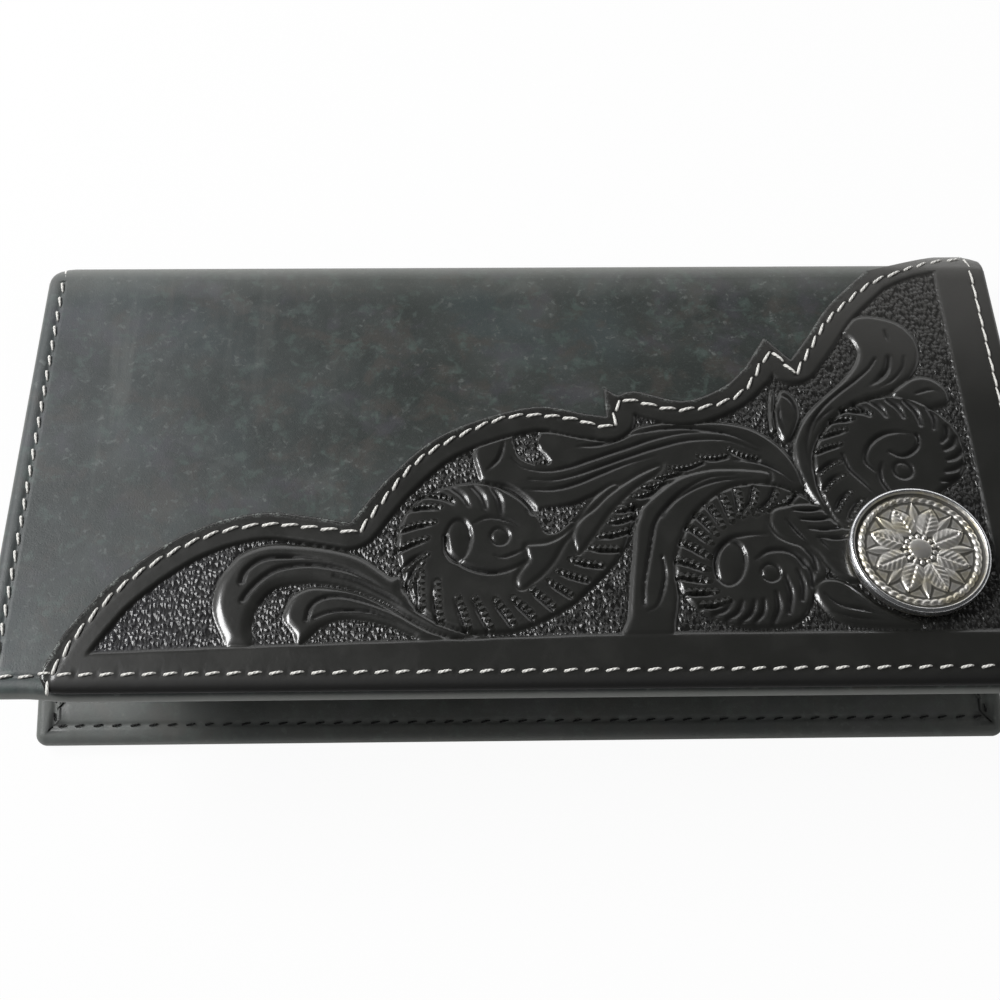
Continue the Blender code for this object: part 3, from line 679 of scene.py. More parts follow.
def makeCover(half, place, channelDepth):
    profile = sideProfile
    last = len(profile) - 1
    steps = coverRows["stationsPerStitch"]
    inner = leather["rowInset"] + sidePitch
    along = np.linspace(-halfWidth + inner, halfWidth - inner, (coverRows["frontCount"] - 2) * steps + 1)
    up = np.append(np.arange(inner, creaseLine - sidePitch / steps / 2, sidePitch / steps), creaseLine)
    columns = 2 * last + len(along) - 1
    piece = startGrid(half + "Cover", columns, last + len(up) - 1)
    column, row = readPoints(piece)[:, :2].T.astype(int)
    side = np.where(column > columns / 2, 1.0, -1.0)
    sideRing = np.clip(np.maximum(last - column, column - (columns - last)), 0, last)
    frontRing = np.clip(last - row, 0, last)
    ring = np.maximum(sideRing, frontRing)
    inset, height, insetFront = profile[ring, 0], profile[ring, 1], frontProfile[ring, 0]
    # round the two outer corners: rings beyond the corner radius meet in a mitre
    centre = np.maximum(leather["corner"], inset)
    radius = np.maximum(leather["corner"] - inset, 0)
    turn = pi / 2 * np.where(sideRing >= frontRing, 0.5 * frontRing / np.maximum(sideRing, 1),
                             1 - 0.5 * sideRing / np.maximum(frontRing, 1))
    corner = (sideRing > 0) & (frontRing > 0)
    u = np.where(sideRing > 0, side * (halfWidth - inset), along[np.clip(column - last, 0, len(along) - 1)])
    v = np.where(frontRing > 0, insetFront, up[np.clip(row - last, 0, len(up) - 1)])
    u = np.where(corner, side * (halfWidth - centre + radius * np.cos(turn)), u)
    v = np.where(corner, centre - radius * np.sin(turn) + insetFront - inset, v)
    # the stitch rows lie in a channel, pulled deeper at each hole
    onFace = ring < coverRows["faceRings"]
    onTop = height > leather["edge"] * 0.99
    away = np.abs(inset - np.where(onFace, leather["rowInset"], leather["innerRow"]))
    channel = np.where(onFace, channelDepth, coverRows["innerChannel"])
    channel *= 1 - smoothStep(away, coverRows["channelFloor"], coverRows["channelReach"])
    channel[(height > 0) & ~onTop] = 0
    hole = np.where(sideRing > 0, (row - last) % steps == 0, (column - last) % steps == 0) & ~corner
    pull = coverRows["dimple"] * np.exp(-(away / coverRows["dimpleWidth"]) ** 2) * hole
    pressed = channel + pull * ((height == 0) | onTop)
    writePoints(piece, np.stack([u, v, height + np.where(onFace, pressed, -pressed)], 1))
    thicken(piece, profile[ring, 2])
    paintWearAndSheen(piece)
    settle(piece, place, coverLeather, half + "_cover", half + "_half")


def thicken(piece, shares):
    # gives the cover its thickness, less where the edge is turned over
    thickness = piece.vertex_groups.new(name="thickness")
    for value in np.unique(shares):
        thickness.add([int(k) for k in np.flatnonzero(shares == value)], float(value), "REPLACE")
    mergeClose(piece)
    cutMitres(piece)
    editWhole(piece, bpy.ops.mesh.normals_make_consistent, inside=False)
    upward = np.mean([face.normal.z for face in piece.data.polygons if face.center.z < 0.2 * mm])
    addModifier(piece, "SOLIDIFY", thickness=leather["cover"], vertex_group="thickness",
                offset=1 if upward > 0 else -1)
    piece.vertex_groups.clear()


def paintWearAndSheen(piece):
    # painted pale: wear and a painted highlight at the open edges, wear and painted sheen towards the fold,
    # painted light on the turned edge; dark in the corner seams
    look = coverWearAndSheen
    spots = readPoints(piece)
    outside = np.minimum(halfWidth - np.abs(spots[:, 0]), spots[:, 1])
    wearAndSheen = look["edge"] * smoothStep(outside, look["edgeFrom"], look["edgeFull"])
    wearAndSheen += look["fold"] * smoothStep(spots[:, 1], halfDepth - look["foldFrom"], halfDepth + look["foldPast"])
    turned = (spots[:, 2] > leather["edge"] * 0.6) & (outside < leather["flangeFront"] + 0.1 * mm)
    # painted light on the turned edge, which lies in shade
    wearAndSheen = np.where(turned, np.maximum(wearAndSheen, look["turned"]), wearAndSheen)
    setAttribute(piece, "wearAndSheen", np.clip(wearAndSheen, 0, look["most"]))
    seam = look["seamDark"] - seamGap(spots) / (look["seamReach"] * coverRows["seamWidth"])
    setAttribute(piece, "seam", turned * np.clip(seam, 0, 1))


makeCover("back", onBack, leather["channel"])
makeCover("front", onFront, leather["channelFront"])
print("covers made")


layers = {
    "liningTop": 1.85 * mm,
    "lining": 0.4 * mm,
    "liningGap": 1.0 * mm,
    "panelTop": 2.6 * mm,
    "panelMouth": 4.0 * mm,
    "thick": 0.5 * mm,
    "gap": 0.25 * mm,
    "side": halfWidth - 1.5 * mm,
    "front": 1.5 * mm,
    "columnSide": halfWidth - 5.03 * mm,
    "columnFront": 8.63 * mm,
    "columnGap": 0.8 * mm,
    "firstMouth": 9.0 * mm,
    "mouthStep": 12.0 * mm,
    "tiers": 3,
    "span": 3.0 * mm,
    "round": 0.2 * mm,
    "creaseInset": 1.6 * mm,
    "creaseWidth": 0.3 * mm,
    "creaseDepth": 0.15 * mm,
}


def stations(low, high, span, crease=None):
    # lines across a layer: close together at its two edges and at a pressed crease, even between
    edge = [0, 0.3 * layers["round"], layers["round"]]
    marks = [low + gap for gap in edge] + [high - gap for gap in edge]
    if crease is not None:
        marks += [crease - layers["creaseWidth"], crease, crease + layers["creaseWidth"]]
    count = max(2, round((high - low) / span))
    for mark in np.linspace(low, high, count + 1)[1:-1]:
        if min(abs(mark - other) for other in marks) > span / 3:
            marks.append(mark)
    return np.array(sorted(marks))


def makeSlab(name, across, up, low, high, rounded, crease=None, plainEnds=False):
    # closed sheet between two heights, its rims rounded, with a pressed line near its mouth
    piece = startGrid(name, len(across) - 1, len(up) - 1)
    addModifier(piece, "SOLIDIFY", thickness=1, offset=1)
    grid = readPoints(piece)
    column, row = np.round(grid[:, :2]).T.astype(int)
    onTop = grid[:, 2] > 0.5
    u, v = across[column], up[row]
    fromEdge = np.minimum(u - across[0], across[-1] - u)
    if not plainEnds:
        fromEdge = np.minimum(fromEdge, np.minimum(v - up[0], up[-1] - v))
    drop = rounded * rounding(fromEdge / max(rounded, 0.001 * mm))
    drop = np.minimum(drop, abs(high - low) * 0.42)
    h = np.where(onTop, high - drop, low + drop)
    if crease is not None:
        h -= layers["creaseDepth"] * (onTop & (np.abs(v - crease) < layers["creaseWidth"] / 2))
    writePoints(piece, np.stack([u, v, h], 1))
    setAttribute(piece, "across", u)
    setAttribute(piece, "along", v)
    return piece


def tierPlace(tier):
    # height of a card tier's face, and how far from the open edge its mouth is
    return (layers["panelTop"] + (tier + 1) * (layers["gap"] + layers["thick"]),
            halfDepth - layers["firstMouth"] - tier * layers["mouthStep"])


def makeLayers(half, place, columnEnd):
    # lining, full-length pocket panel and stepped card tiers of one half
    side, low, high = layers["side"], layers["front"], halfDepth - layers["liningGap"]
    lining = makeSlab(half + "Lining", stations(-side, side, 6 * mm), stations(low, high, 6 * mm),
                      layers["liningTop"] - layers["lining"], layers["liningTop"], layers["round"])
    settle(lining, place, liningCloth, half + "_lining", half + "_half")
    mouth = halfDepth - layers["panelMouth"]
    cards = [("PocketPanel", "_pocket_panel", -side, side, low, mouth, layers["panelTop"])]
    for tier in range(layers["tiers"]):
        top, mouth = tierPlace(tier)
        cards.append((f"CardTier{tier + 1}", f"_card_tier_{tier + 1}", -layers["columnSide"], columnEnd,
                      layers["columnFront"], mouth, top))
    for name, node, left, right, front, mouth, top in cards:
        crease = mouth - layers["creaseInset"]
        piece = makeSlab(half + name, stations(left, right, layers["span"]),
                         stations(front, mouth, layers["span"], crease),
                         top - layers["thick"], top, layers["round"], crease)
        settle(piece, place, innerLeather, half + node, half + "_half")


def makeWindow():
    # clear sheet under a leather frame whose opening has rounded rims
    look = {"back": 24.0 * mm, "border": 7.0 * mm, "thick": 0.3 * mm, "span": 4 * mm, "round": 0.1 * mm,
            "rims": 0.18 * mm, "cuts": 5}
    left, right = layers["columnGap"] / 2, layers["columnSide"]
    front, back = layers["columnFront"], halfDepth - look["back"]
    top = layers["panelTop"] + layers["gap"] + look["thick"]
    sheet = makeSlab("idWindow", stations(left, right, look["span"]), stations(front, back, look["span"]),
                     top - look["thick"], top, look["round"])
    settle(sheet, onBack, clearSheet, "id_window", "back_half")
    # the frame is a ring of faces round the opening, thickened and then rounded at its rims
    across = np.array([left, left + look["border"], right - look["border"], right])
    up = np.array([front, front + look["border"], back - look["border"], back])
    ring = startGrid("idWindowFrame", 3, 3)
    column, row = readPoints(ring)[:, :2].T.astype(int)
    writePoints(ring, np.stack([across[column], up[row], np.full(len(row), top + layers["gap"])], 1))
    away = readMesh(ring.data.polygons, "center", 3)[:, :2] - ((left + right) / 2, (front + back) / 2)
    editChosen(ring, "FACE", {"polygons": (np.abs(away) < 1 * mm).all(1)},
               (bpy.ops.mesh.delete, {"type": "FACE"}),
               (bpy.ops.mesh.select_all, {"action": "SELECT"}),
               (bpy.ops.mesh.subdivide, {"number_cuts": look["cuts"]}))
    addModifier(ring, "SOLIDIFY", thickness=layers["thick"], offset=1)
    addModifier(ring, "BEVEL", width=look["rims"], segments=2, limit_method="ANGLE")
    settle(ring, onBack, innerLeather, "id_window_frame", "back_half")


makeLayers("back", onBack, -layers["columnGap"] / 2)
makeLayers("front", onFront, layers["columnSide"])
makeWindow()
print("inner layers made")


# each half of the fold: the bodies that it lies between, and where it starts and ends round the fold
foldHalves = {"Back": (("back_half", "spine"), 0, foldMiddle),
              "Front": (("spine", "front_half"), foldMiddle, foldLength)}


def foldStations(side):
    # lines across the fold, closer together towards its two ends
    shares = np.array([1, 0.7, 0.42, 0.27, 0.17, 0.08, 0.02, 0])
    ends = side - (side - halfWidth + leather["endLength"]) * shares
    return np.concatenate([-ends[:0:-1], np.linspace(-ends[0], ends[0], 41), ends[1:]])


def makeFold():
    look = {"round": 0.3 * mm, "rows": 13, "wearAndSheen": 0.24, "bent": 0.86}
    gap, round_ = leather["creaseGap"], leather["edge"] / 2
    sheets = (("spineLeather", "spine_leather", halfWidth, 0, leather["cover"], coverLeather),
              ("spineLining", "spine_lining", layers["side"], layers["liningTop"] - layers["lining"],
               layers["liningTop"], liningCloth))
    for ending, (bodies, start, end) in foldHalves.items():
        up = np.linspace(max(start, gap), min(end, foldLength - gap), look["rows"])
        for name, node, side, low, high, finish in sheets:
            piece = makeSlab(name + ending, foldStations(side), up, low, high, look["round"], plainEnds=True)
            spots = readPoints(piece)
            # paler over the fold: painted sheen, strongest at its middle, with wear
            bent = np.sin(spots[:, 1] / foldLength * pi) ** 1.3
            setAttribute(piece, "wearAndSheen", look["wearAndSheen"] + look["bent"] * bent)
            # both ends are turned in, as round as the covers' edges
            spots[:, 2] += round_ * rounding((halfWidth - np.abs(spots[:, 0])) / round_)
            writePoints(piece, spots)
            settle(piece, roundFold, finish, node)
            bendWithFold(piece, bodies, start, end, low)


makeFold()
print("fold made")


# the tooled yoke, laid on the front cover
yoke = {
    "left": -halfWidth + 10.6 * mm,
    "right": halfWidth - 0.3 * mm,
    "front": 0.3 * mm,
    "lift": 0.2 * mm,
    "thick": 1.8 * mm,
    "corner": 1.5 * mm,
    "spacing": 0.305 * mm,
    "plainSpacing": 0.5 * mm,
    "plainFront": 6.0 * mm,
    "plainRight": 83.2 * mm,
    "edgeRound": 0.55 * mm,
    "edgeDrop": 0.30 * mm,
    "rollWidth": 2.5 * mm,
    "rollDrop": 0.85 * mm,
    "lean": 0.4 * mm,
    "wallSteps": 3,
    "wallStep": 0.22 * mm,
    "relaxed": 1.6,
    "relaxTurns": 6,
    "stitch": 3.4,
    "firstHole": -76.5,
    "rawWidth": (1.2, 0.3),
    "frayed": 0.55,
    "rimShade": 0.85,
    "rimWidth": (3.0, 0.6),
}
yokeFace = -(yoke["lift"] + yoke["thick"])
# upper edge from the left end to the crease, as shares of the yoke's length and of the half's depth;
# a third number marks a point where the cut turns sharply
scallop = [
    (0.0105, 0.000, 1), (0.008, 0.012), (0.004, 0.026), (0.0055, 0.047), (0.012, 0.078), (0.0215, 0.117),
    (0.037, 0.163), (0.0555, 0.214), (0.080, 0.262), (0.110, 0.310), (0.142, 0.347), (0.176, 0.371),
    (0.212, 0.381), (0.252, 0.371), (0.293, 0.356, 1), (0.334, 0.470), (0.391, 0.573), (0.480, 0.635),
    (0.538, 0.617), (0.560, 0.610, 1), (0.559, 0.684, 1), (0.573, 0.664, 1), (0.594, 0.674), (0.643, 0.649),
    (0.686, 0.682), (0.714, 0.735, 1), (0.739, 0.816, 1), (0.765, 0.755, 1), (0.787, 0.817), (0.817, 0.905),
    (0.864, 1.000, 1),
]
# the stitch row along it, in millimetres
scallopStitches = [
    (-79.4, -0.6, 1), (-79.1, 2.4), (-77.8, 5.4), (-76.1, 9.0), (-69.9, 17.9), (-62.5, 24.4), (-54.1, 29.0),
    (-44.7, 30.7), (-34.5, 29.6), (-29.1, 28.9, 1), (-25.1, 35.2), (-19.1, 43.5), (-10.6, 49.4), (-1.6, 53.1),
    (8.4, 52.6), (13.7, 50.8), (16.9, 50.6, 1), (17.0, 52.9), (17.3, 55.8), (18.5, 56.6, 1), (20.1, 56.7),
    (25.0, 54.9), (30.1, 54.2), (37.6, 55.9), (42.3, 59.3), (45.1, 64.5), (47.7, 67.4, 1), (49.7, 64.5),
    (51.5, 62.0, 1), (54.5, 67.2), (58.8, 74.3), (62.8, 78.4), (67.1, 82.4), (69.5, 84.1), (72.2, 85.4),
    (75.4, 86.5, 1),
]
# where the cut edge and its stitches go on over the fold, as places on the opened-out leather
yokeOverFold = np.array([(72, 88.9), (76, 90.6), (81, 91.8), (86, 92.2), (92, 92.4)])
stitchesOverFold = np.array([(75.5, 86.85), (78.2, 87.5), (81.2, 88.3), (84.6, 88.9), (88.2, 89.1)])


def betweenTurns(points, steps):
    # smooth curves from each sharp turn to the next
    curves, run = [], []
    for x, y, *sharp in points:
        run.append((x, y))
        if sharp and len(run) > 1:
            curves.append(smoothLine(run, steps) if len(run) > 2 else np.array(run))
            run = run[-1:]
    return curves


def joined(curves):
    return np.vstack([curves[0]] + [curve[1:] for curve in curves[1:]])


def scallopLine():
    # the cut edge in millimetres
    left, right, front = yoke["left"] / mm, yoke["right"] / mm, yoke["front"] / mm
    deep = creaseLine / mm - front
    places = [(left + along * (right - left), front + up * deep, *sharp) for along, up, *sharp in scallop]
    return joined(betweenTurns(places, 10))


cutLine = scallopLine()


def insideLoop(spots, loop):
    inside = np.zeros(len(spots), bool)
    for a, b in zip(loop, np.roll(loop, -1, axis=0)):
        if a[1] == b[1]:
            continue
        crosses = (a[1] > spots[:, 1]) != (b[1] > spots[:, 1])
        at = a[0] + (spots[:, 1] - a[1]) * (b[0] - a[0]) / (b[1] - a[1])
        inside ^= crosses & (spots[:, 0] < at)
    return inside


# the tooling, in millimetres on the leather
tooling = {
    "ground": 0.52,
    "borderWidth": 5.15,
    "widerBorder": [(-72, 0.7), (-40, 0.1)],
    "rightBorder": 82.0,
    "bottomBorder": [(-73, 6.8), (-50, 7.5), (-15, 8.4), (20, 9.2), (80, 9.2)],
    "borderCut": 0.34,
    "borderLine": 0.42,
    "borderDark": 0.7,
    "straightShare": 0.30,
    "straightWall": 1.9,
    "scallopWall": 1.0,
    "roll": 0.9,
    "drop": 0.38,
    "bevel": 1.6,
    "press": 0.20,
    "pressWidth": 0.9,
    "step": 0.34,
    "deeper": 1.35,
    "thinEnds": 0.35,
    "hollow": 1.2,
    "beadAside": 0.56,
    "beadWidth": 0.60,
    "beadPress": 0.08,
    "pocketWall": 0.25,
    "stitchPress": 0.05,
    "stitchReach": (1.1, 0.2),
    "holePress": 0.07,
    "holeWidth": 0.4,
    "holeShade": 0.38,
}

branch = [
    (-7.6, 39.5), (-8.4, 42), (-9, 45), (-8.3, 47.3), (-6, 48.6), (-3, 49.3), (1, 49.9), (6, 49.9),
    (11, 48.8), (15, 47.8), (18, 48.6), (21, 50.6), (25, 51.6), (31, 51.8), (37, 51.6), (42, 50.2),
    (46, 47.2), (48.6, 43.5), (50.2, 39.5), (49.5, 37.0), (44, 38.6), (38, 39.0), (30, 35.5), (22, 34),
    (15.5, 33), (8, 29), (1.0, 32.2), (-2.6, 36.8), (-5.8, 38.6),
]
acanthus = [
    (-50, 7.6), (-51.5, 10), (-52.7, 12.5), (-53.3, 15), (-53.2, 18), (-52.5, 20.5), (-51, 23), (-49, 25.2),
    (-45, 26.8), (-40, 26.8), (-35, 26.2), (-31, 25.2), (-28, 23.8), (-25.5, 21.9), (-23.3, 20.3),
    (-21.8, 20.3), (-21.2, 18), (-20.4, 16.8), (-19.7, 15.3), (-18.5, 14), (-16, 12.3), (-13.5, 11),
    (-10.5, 9.8), (-7, 9), (-14, 9.4), (-20, 12.6), (-23, 14.8), (-26, 16.4), (-30, 18.1), (-34, 19.1),
    (-38, 19.3), (-42.5, 18.6), (-44.8, 16.7), (-46.2, 14), (-46.6, 11), (-46.3, 7.6),
]
secondLobe = [
    (-38.8, 8.2), (-39.5, 10), (-41, 12), (-41.2, 13.8), (-40.3, 16.3), (-38.7, 17.8), (-36.5, 18.5),
    (-33, 18.2), (-29, 17.2), (-25, 15.3), (-22, 13.5), (-18, 11), (-14, 9.2), (-10, 8.6), (-17.5, 8.5),
    (-19.5, 9.3), (-23, 10.8), (-27, 12), (-30.5, 12.4), (-33, 12), (-35.2, 10.8), (-36.8, 9.2), (-38.3, 8.0),
]
stemC = [
    (44, 41.0), (38, 41.7), (33, 41.5), (28, 40), (24, 37), (21, 34), (20.2, 32), (19.3, 29.5), (18.7, 25),
    (18, 20), (17.4, 15), (17.0, 12), (15.6, 8.5), (18, 7.8), (24, 7.8), (25.3, 12), (25.9, 15), (26.1, 18),
    (26.1, 21), (26.8, 25), (29, 30.5), (32, 34), (36, 37), (40, 38.3), (44, 38.7),
]
flowerOne = [
    (-12.5, 38.6), (-17, 36.8), (-20.5, 33.5), (-22, 30), (-22.3, 26), (-21.5, 22), (-19.8, 17.5),
    (-18.2, 14), (-14.7, 11.5), (-10, 9.9), (-4, 9.7), (0, 10.6), (4, 12.5), (8, 15), (11, 18), (14, 21),
    (17, 25), (18.5, 29), (19.3, 33), (16, 34.5), (10, 31.5), (4, 31), (1.6, 33.6), (-0.5, 36.3),
    (-3.2, 38.2), (-8, 39),
]
stemA = [
    (-1.9, 19.6), (-1.6, 17.9), (-0.4, 17.6), (1.2, 18.9), (3, 20.5), (5, 23), (7.5, 27.3), (11, 30.8),
    (15, 34.0), (18.5, 37), (16, 38.6), (11.5, 34.8), (7.8, 29.4), (4, 26.9), (0.2, 26.4), (0.1, 24.6),
    (0.3, 23.2), (-1, 21.4),
]
stemB = [
    (9.1, 24.3), (8.2, 27.3), (8.7, 29.7), (10.2, 31.8), (12.3, 33.6), (15.4, 36.8), (20.5, 40.5), (25, 42.5),
    (24, 40.5), (20, 37.6), (15.8, 33.3), (13, 29.3), (10.6, 25.8),
]
flowerTwo = [
    (27.4, 15.6), (26.3, 18), (25.8, 20), (25.8, 22), (26.3, 24.3), (27.4, 27.3), (29, 30.5), (31.5, 33.8),
    (34.5, 36.4), (38, 38), (42, 38.5), (46, 37.8), (49.5, 36), (52, 33.5), (53.5, 30), (53.5, 24),
    (52, 19.5), (49.5, 16.5), (47.5, 12.5), (44.5, 10.6), (40, 10.2), (35.5, 10.6), (31.5, 12), (28.8, 13.8),
]
sideLeaf = [
    (43.0, 31.0), (43.3, 29.2), (44.4, 27.5), (46.5, 26.3), (49.3, 25.3), (50.9, 23.8), (51.8, 22),
    (53.3, 20.2), (56, 18.6), (59, 20), (59, 28), (56.5, 31.3), (53.8, 33.6), (50, 34.4), (46.5, 33.9),
    (44, 33.1),
]
footLeaf = [
    (49.4, 17.3), (50.3, 14), (52.5, 11.6), (56.5, 10.5), (62, 10.1), (67, 10.4), (61, 13.8), (57.5, 17),
    (54.5, 19), (51.2, 19.2),
]
hookLeaf = [
    (54.9, 30.3), (52.4, 33.6), (50.5, 37.3), (49.4, 41.5), (49.2, 45.3), (50, 48.7), (51.7, 52), (54, 54.9),
    (57.3, 58), (60, 60.6), (62.2, 63.2), (63.6, 65.6), (64, 67.6), (63.4, 69.8), (62.4, 71.2), (61.2, 72),
    (62.5, 74.2), (64.2, 75.4), (66.7, 75.9), (70, 75.3), (72.7, 74.1), (74.5, 72.2), (75.5, 70),
    (75.7, 67.3), (75, 64.5), (73.5, 62), (71.5, 60.1), (69, 58.4), (65, 56.8), (61, 54.9), (57.5, 52.2),
    (54.8, 49), (53.1, 45.5), (52.5, 42), (52.9, 37), (54, 33.5),
]
earLobe = [
    (69.5, 58.4), (71.5, 60.1), (73.2, 61.2), (75.2, 61.6), (77.2, 61), (78.8, 59.6), (79.6, 57.8),
    (79.3, 56), (77.8, 55), (75.5, 54.6), (72.5, 55.4), (69.5, 57),
]
flowerThree = [
    (52.7, 40), (52.6, 43), (53.3, 46), (54.9, 49), (57.5, 52.2), (61, 54.9), (65, 56.6), (69, 57.2),
    (73, 56.2), (76.5, 53.8), (79.2, 50.5), (80.3, 46.5), (80, 42.5), (78.3, 39.3), (75, 37), (71, 34),
    (62, 31), (57, 29), (54.6, 31), (53.2, 35.7),
]
bud = [
    (47.7, 47.2), (46.7, 50), (46.6, 53), (47.2, 56), (48.5, 58.6), (49.8, 58.1), (50.9, 56.0), (51.2, 53.6),
    (50.6, 51), (49.2, 48.3),
]
budLeaf = [(45.6, 49.5), (45.5, 53), (45.9, 56.5), (46.7, 59), (47.1, 56.4), (46.5, 53), (46.6, 50)]


def nearby(relief, line, margin):
    # the points about a line: which ones, where they are, how far from it and how far along it
    spots = relief["spots"]
    chosen = np.flatnonzero(((spots > line.min(0) - margin) & (spots < line.max(0) + margin)).all(1))
    return (chosen, spots[chosen], *nearLine(spots[chosen], line))


def about(relief, points, margin):
    # the points in and round a closed shape, how far from its outline, and which are inside
    loop = smoothLine(points, 5, closed=True)
    chosen, spots, gap, run = nearby(relief, np.vstack([loop, loop[:1]]), margin)
    return chosen, gap, insideLoop(spots, loop)


def pressedBeside(gap):
    return tooling["press"] * np.clip(1 - gap / tooling["pressWidth"], 0, 1) ** 2


def raiseShape(relief, points, lift=0.0, roll=tooling["roll"], drop=tooling["drop"]):
    # a motif that stands above the ground: rolled off towards its outline, the ground pressed down beside it
    chosen, gap, inside = about(relief, points, 1.5)
    crown = lift - drop * (1 - np.clip(gap / roll, 0, 1)) ** tooling["bevel"]
    crown = np.where(inside, crown, lift - drop)
    beside = relief["height"][chosen] - pressedBeside(np.where(inside, 0, gap))
    deep = np.where(inside, gap, -gap)
    relief["height"][chosen] = beside + (crown - beside) * np.clip(deep / tooling["step"] + 0.5, 0, 1)
    # the pebbles stop just outside the outline
    for mask in ("ground", "beads", "cuts"):
        relief[mask][chosen] *= 1 - np.clip((deep + 0.3) / 0.2, 0, 1)


def sinkPocket(relief, points, share=1.0):
    # a pocket of pebbled ground inside a motif
    chosen, gap, inside = about(relief, points, 1.0)
    wall = inside * smoothStep(gap, 0, tooling["pocketWall"])
    height = relief["height"][chosen]
    relief["height"][chosen] = height - (share * (tooling["ground"] + pressedBeside(gap)) + height) * wall
    relief["ground"][chosen] = np.where(inside, wall, relief["ground"][chosen])


def darken(relief, chosen, shade):
    # painted shade: the darkest share of shade wins
    relief["cuts"][chosen] = np.maximum(relief["cuts"][chosen], shade)


def cutGroove(relief, points, width=0.9, depth=0.26, start=0.5, end=0.1, steps=6):
    # a cut whose width and depth swell from start to full and fade to end, as shares; shade is painted into
    # it
    line = smoothLine(points, steps) if len(points) > 2 else np.asarray(points, float)
    chosen, spots, gap, run = nearby(relief, line, width * 2)
    swell = np.interp(run / np.hypot(*np.diff(line, axis=0).T).sum(), [0, 0.3, 0.6, 1], [start, 1, 1, end])
    wide = width / 2 * (tooling["thinEnds"] + (1 - tooling["thinEnds"]) * swell)
    hollow = (1 - np.clip(gap / wide, 0, 1)) ** tooling["hollow"]
    relief["height"][chosen] -= tooling["deeper"] * depth * swell * hollow
    darken(relief, chosen, swell * np.clip(1 - gap / (1.5 * wide), 0, 1) * min(1, depth / 0.24))


def cutGrooves(relief, start, end, grooves):
    for width, depth, points in grooves:
        cutGroove(relief, points, width, depth, start, end)


def cutSlits(relief, width, depth, bead, slits):
    # tapered pits from the fringe inwards, each between two places and bent a little,
    # with a row of beads of that size pressed along its upper or right side
    for x0, y0, x1, y1, bend in slits:
        a, b = np.array((x0, y0)), np.array((x1, y1))
        across = np.array([y0 - y1, x1 - x0])
        line = smoothLine([a, (a + b) / 2 + across * bend, b], 5)
        cutGroove(relief, line, width, depth, start=0.85, end=0.15 if bead else 0.6, steps=1)
        if not bead:
            continue
        side = 1 if across @ (0.85, 0.5) > 0 else -1
        row = line + side * across / np.hypot(*across) * tooling["beadAside"] * bead
        chosen, spots, gap, run = nearby(relief, row, 1.4)
        mask = np.clip(bead - gap / tooling["beadWidth"], 0, bead)
        stronger = mask > relief["beads"][chosen]
        relief["beads"][chosen[stronger]] = mask[stronger]
        stronger &= gap < bead
        relief["beadRun"][chosen[stronger]] = run[stronger] / bead * mm
        relief["height"][chosen] -= tooling["beadPress"] * mask


def cutSeed(relief, centre, wide, high, tilt, cut, ring):
    # an oval button left standing inside a cut ring, domed and highest towards its left; shade is painted
    # into the ring
    turn = np.linspace(0, 2 * pi, 33)
    c, s = cos(radians(tilt)), sin(radians(tilt))
    loop = np.stack([centre[0] + wide * np.cos(turn) * c - high * np.sin(turn) * s,
                     centre[1] + wide * np.cos(turn) * s + high * np.sin(turn) * c], 1)
    chosen, spots, gap, run = nearby(relief, loop, 1.5)
    groove = np.clip(1 - gap / (ring / 2), 0, 1) ** tooling["hollow"]
    away = np.hypot((spots[:, 0] - centre[0] + 0.35 * wide) / wide, (spots[:, 1] - centre[1]) / high)
    dome = np.where(insideLoop(spots, loop), 0.75 * away ** 2, 0)
    relief["height"][chosen] -= cut * np.maximum(groove, dome)
    darken(relief, chosen, groove * 0.8)


def toolField(relief):
    spots = relief["spots"]
    edge, run = nearLine(spots, np.vstack([cutLine, yokeOverFold]))
    bottom = np.interp(spots[:, 0], *np.array(tooling["bottomBorder"]).T)
    border = tooling["borderWidth"] + np.interp(spots[:, 0], *np.array(tooling["widerBorder"]).T)
    straight = np.minimum(spots[:, 1] - bottom, tooling["rightBorder"] - spots[:, 0])
    field = np.minimum(edge - border, straight)
    # the border is cut deep along the scallop and only pressed along the two straight sides
    weak = tooling["straightShare"]
    strong = weak + (1 - weak) * smoothStep(straight - (edge - border), -0.6, 0.6)
    wide = tooling["straightWall"] + (tooling["scallopWall"] - tooling["straightWall"]) * strong
    wall = smoothStep(field / wide, 0.0, 0.35)
    plain = -(tooling["ground"] + pressedBeside(field)) * wall
    relief["height"][:] = plain
    relief["ground"][:] = wall
    carveMotifs(relief)
    share = np.clip(field / tooling["step"], 0, 1)
    for name, value in (("height", plain), ("ground", 0), ("beads", 0), ("cuts", 0)):
        relief[name] = value + (relief[name] - value) * share
    # the border line itself, with shade painted into it
    line = np.clip(1 - np.abs(field) / tooling["borderLine"], 0, 1)
    relief["height"] -= tooling["borderCut"] * strong * line
    darken(relief, slice(None), tooling["borderDark"] * strong * line)


def carveMotifs(relief):
    carveBranch(relief)
    carveAcanthus(relief)
    carveStemC(relief)
    carveFlowerOne(relief)
    raiseShape(relief, stemA, 0.05)
    raiseShape(relief, stemB, 0.05)
    carveFlowerTwo(relief)
    carveFlowerThree(relief)


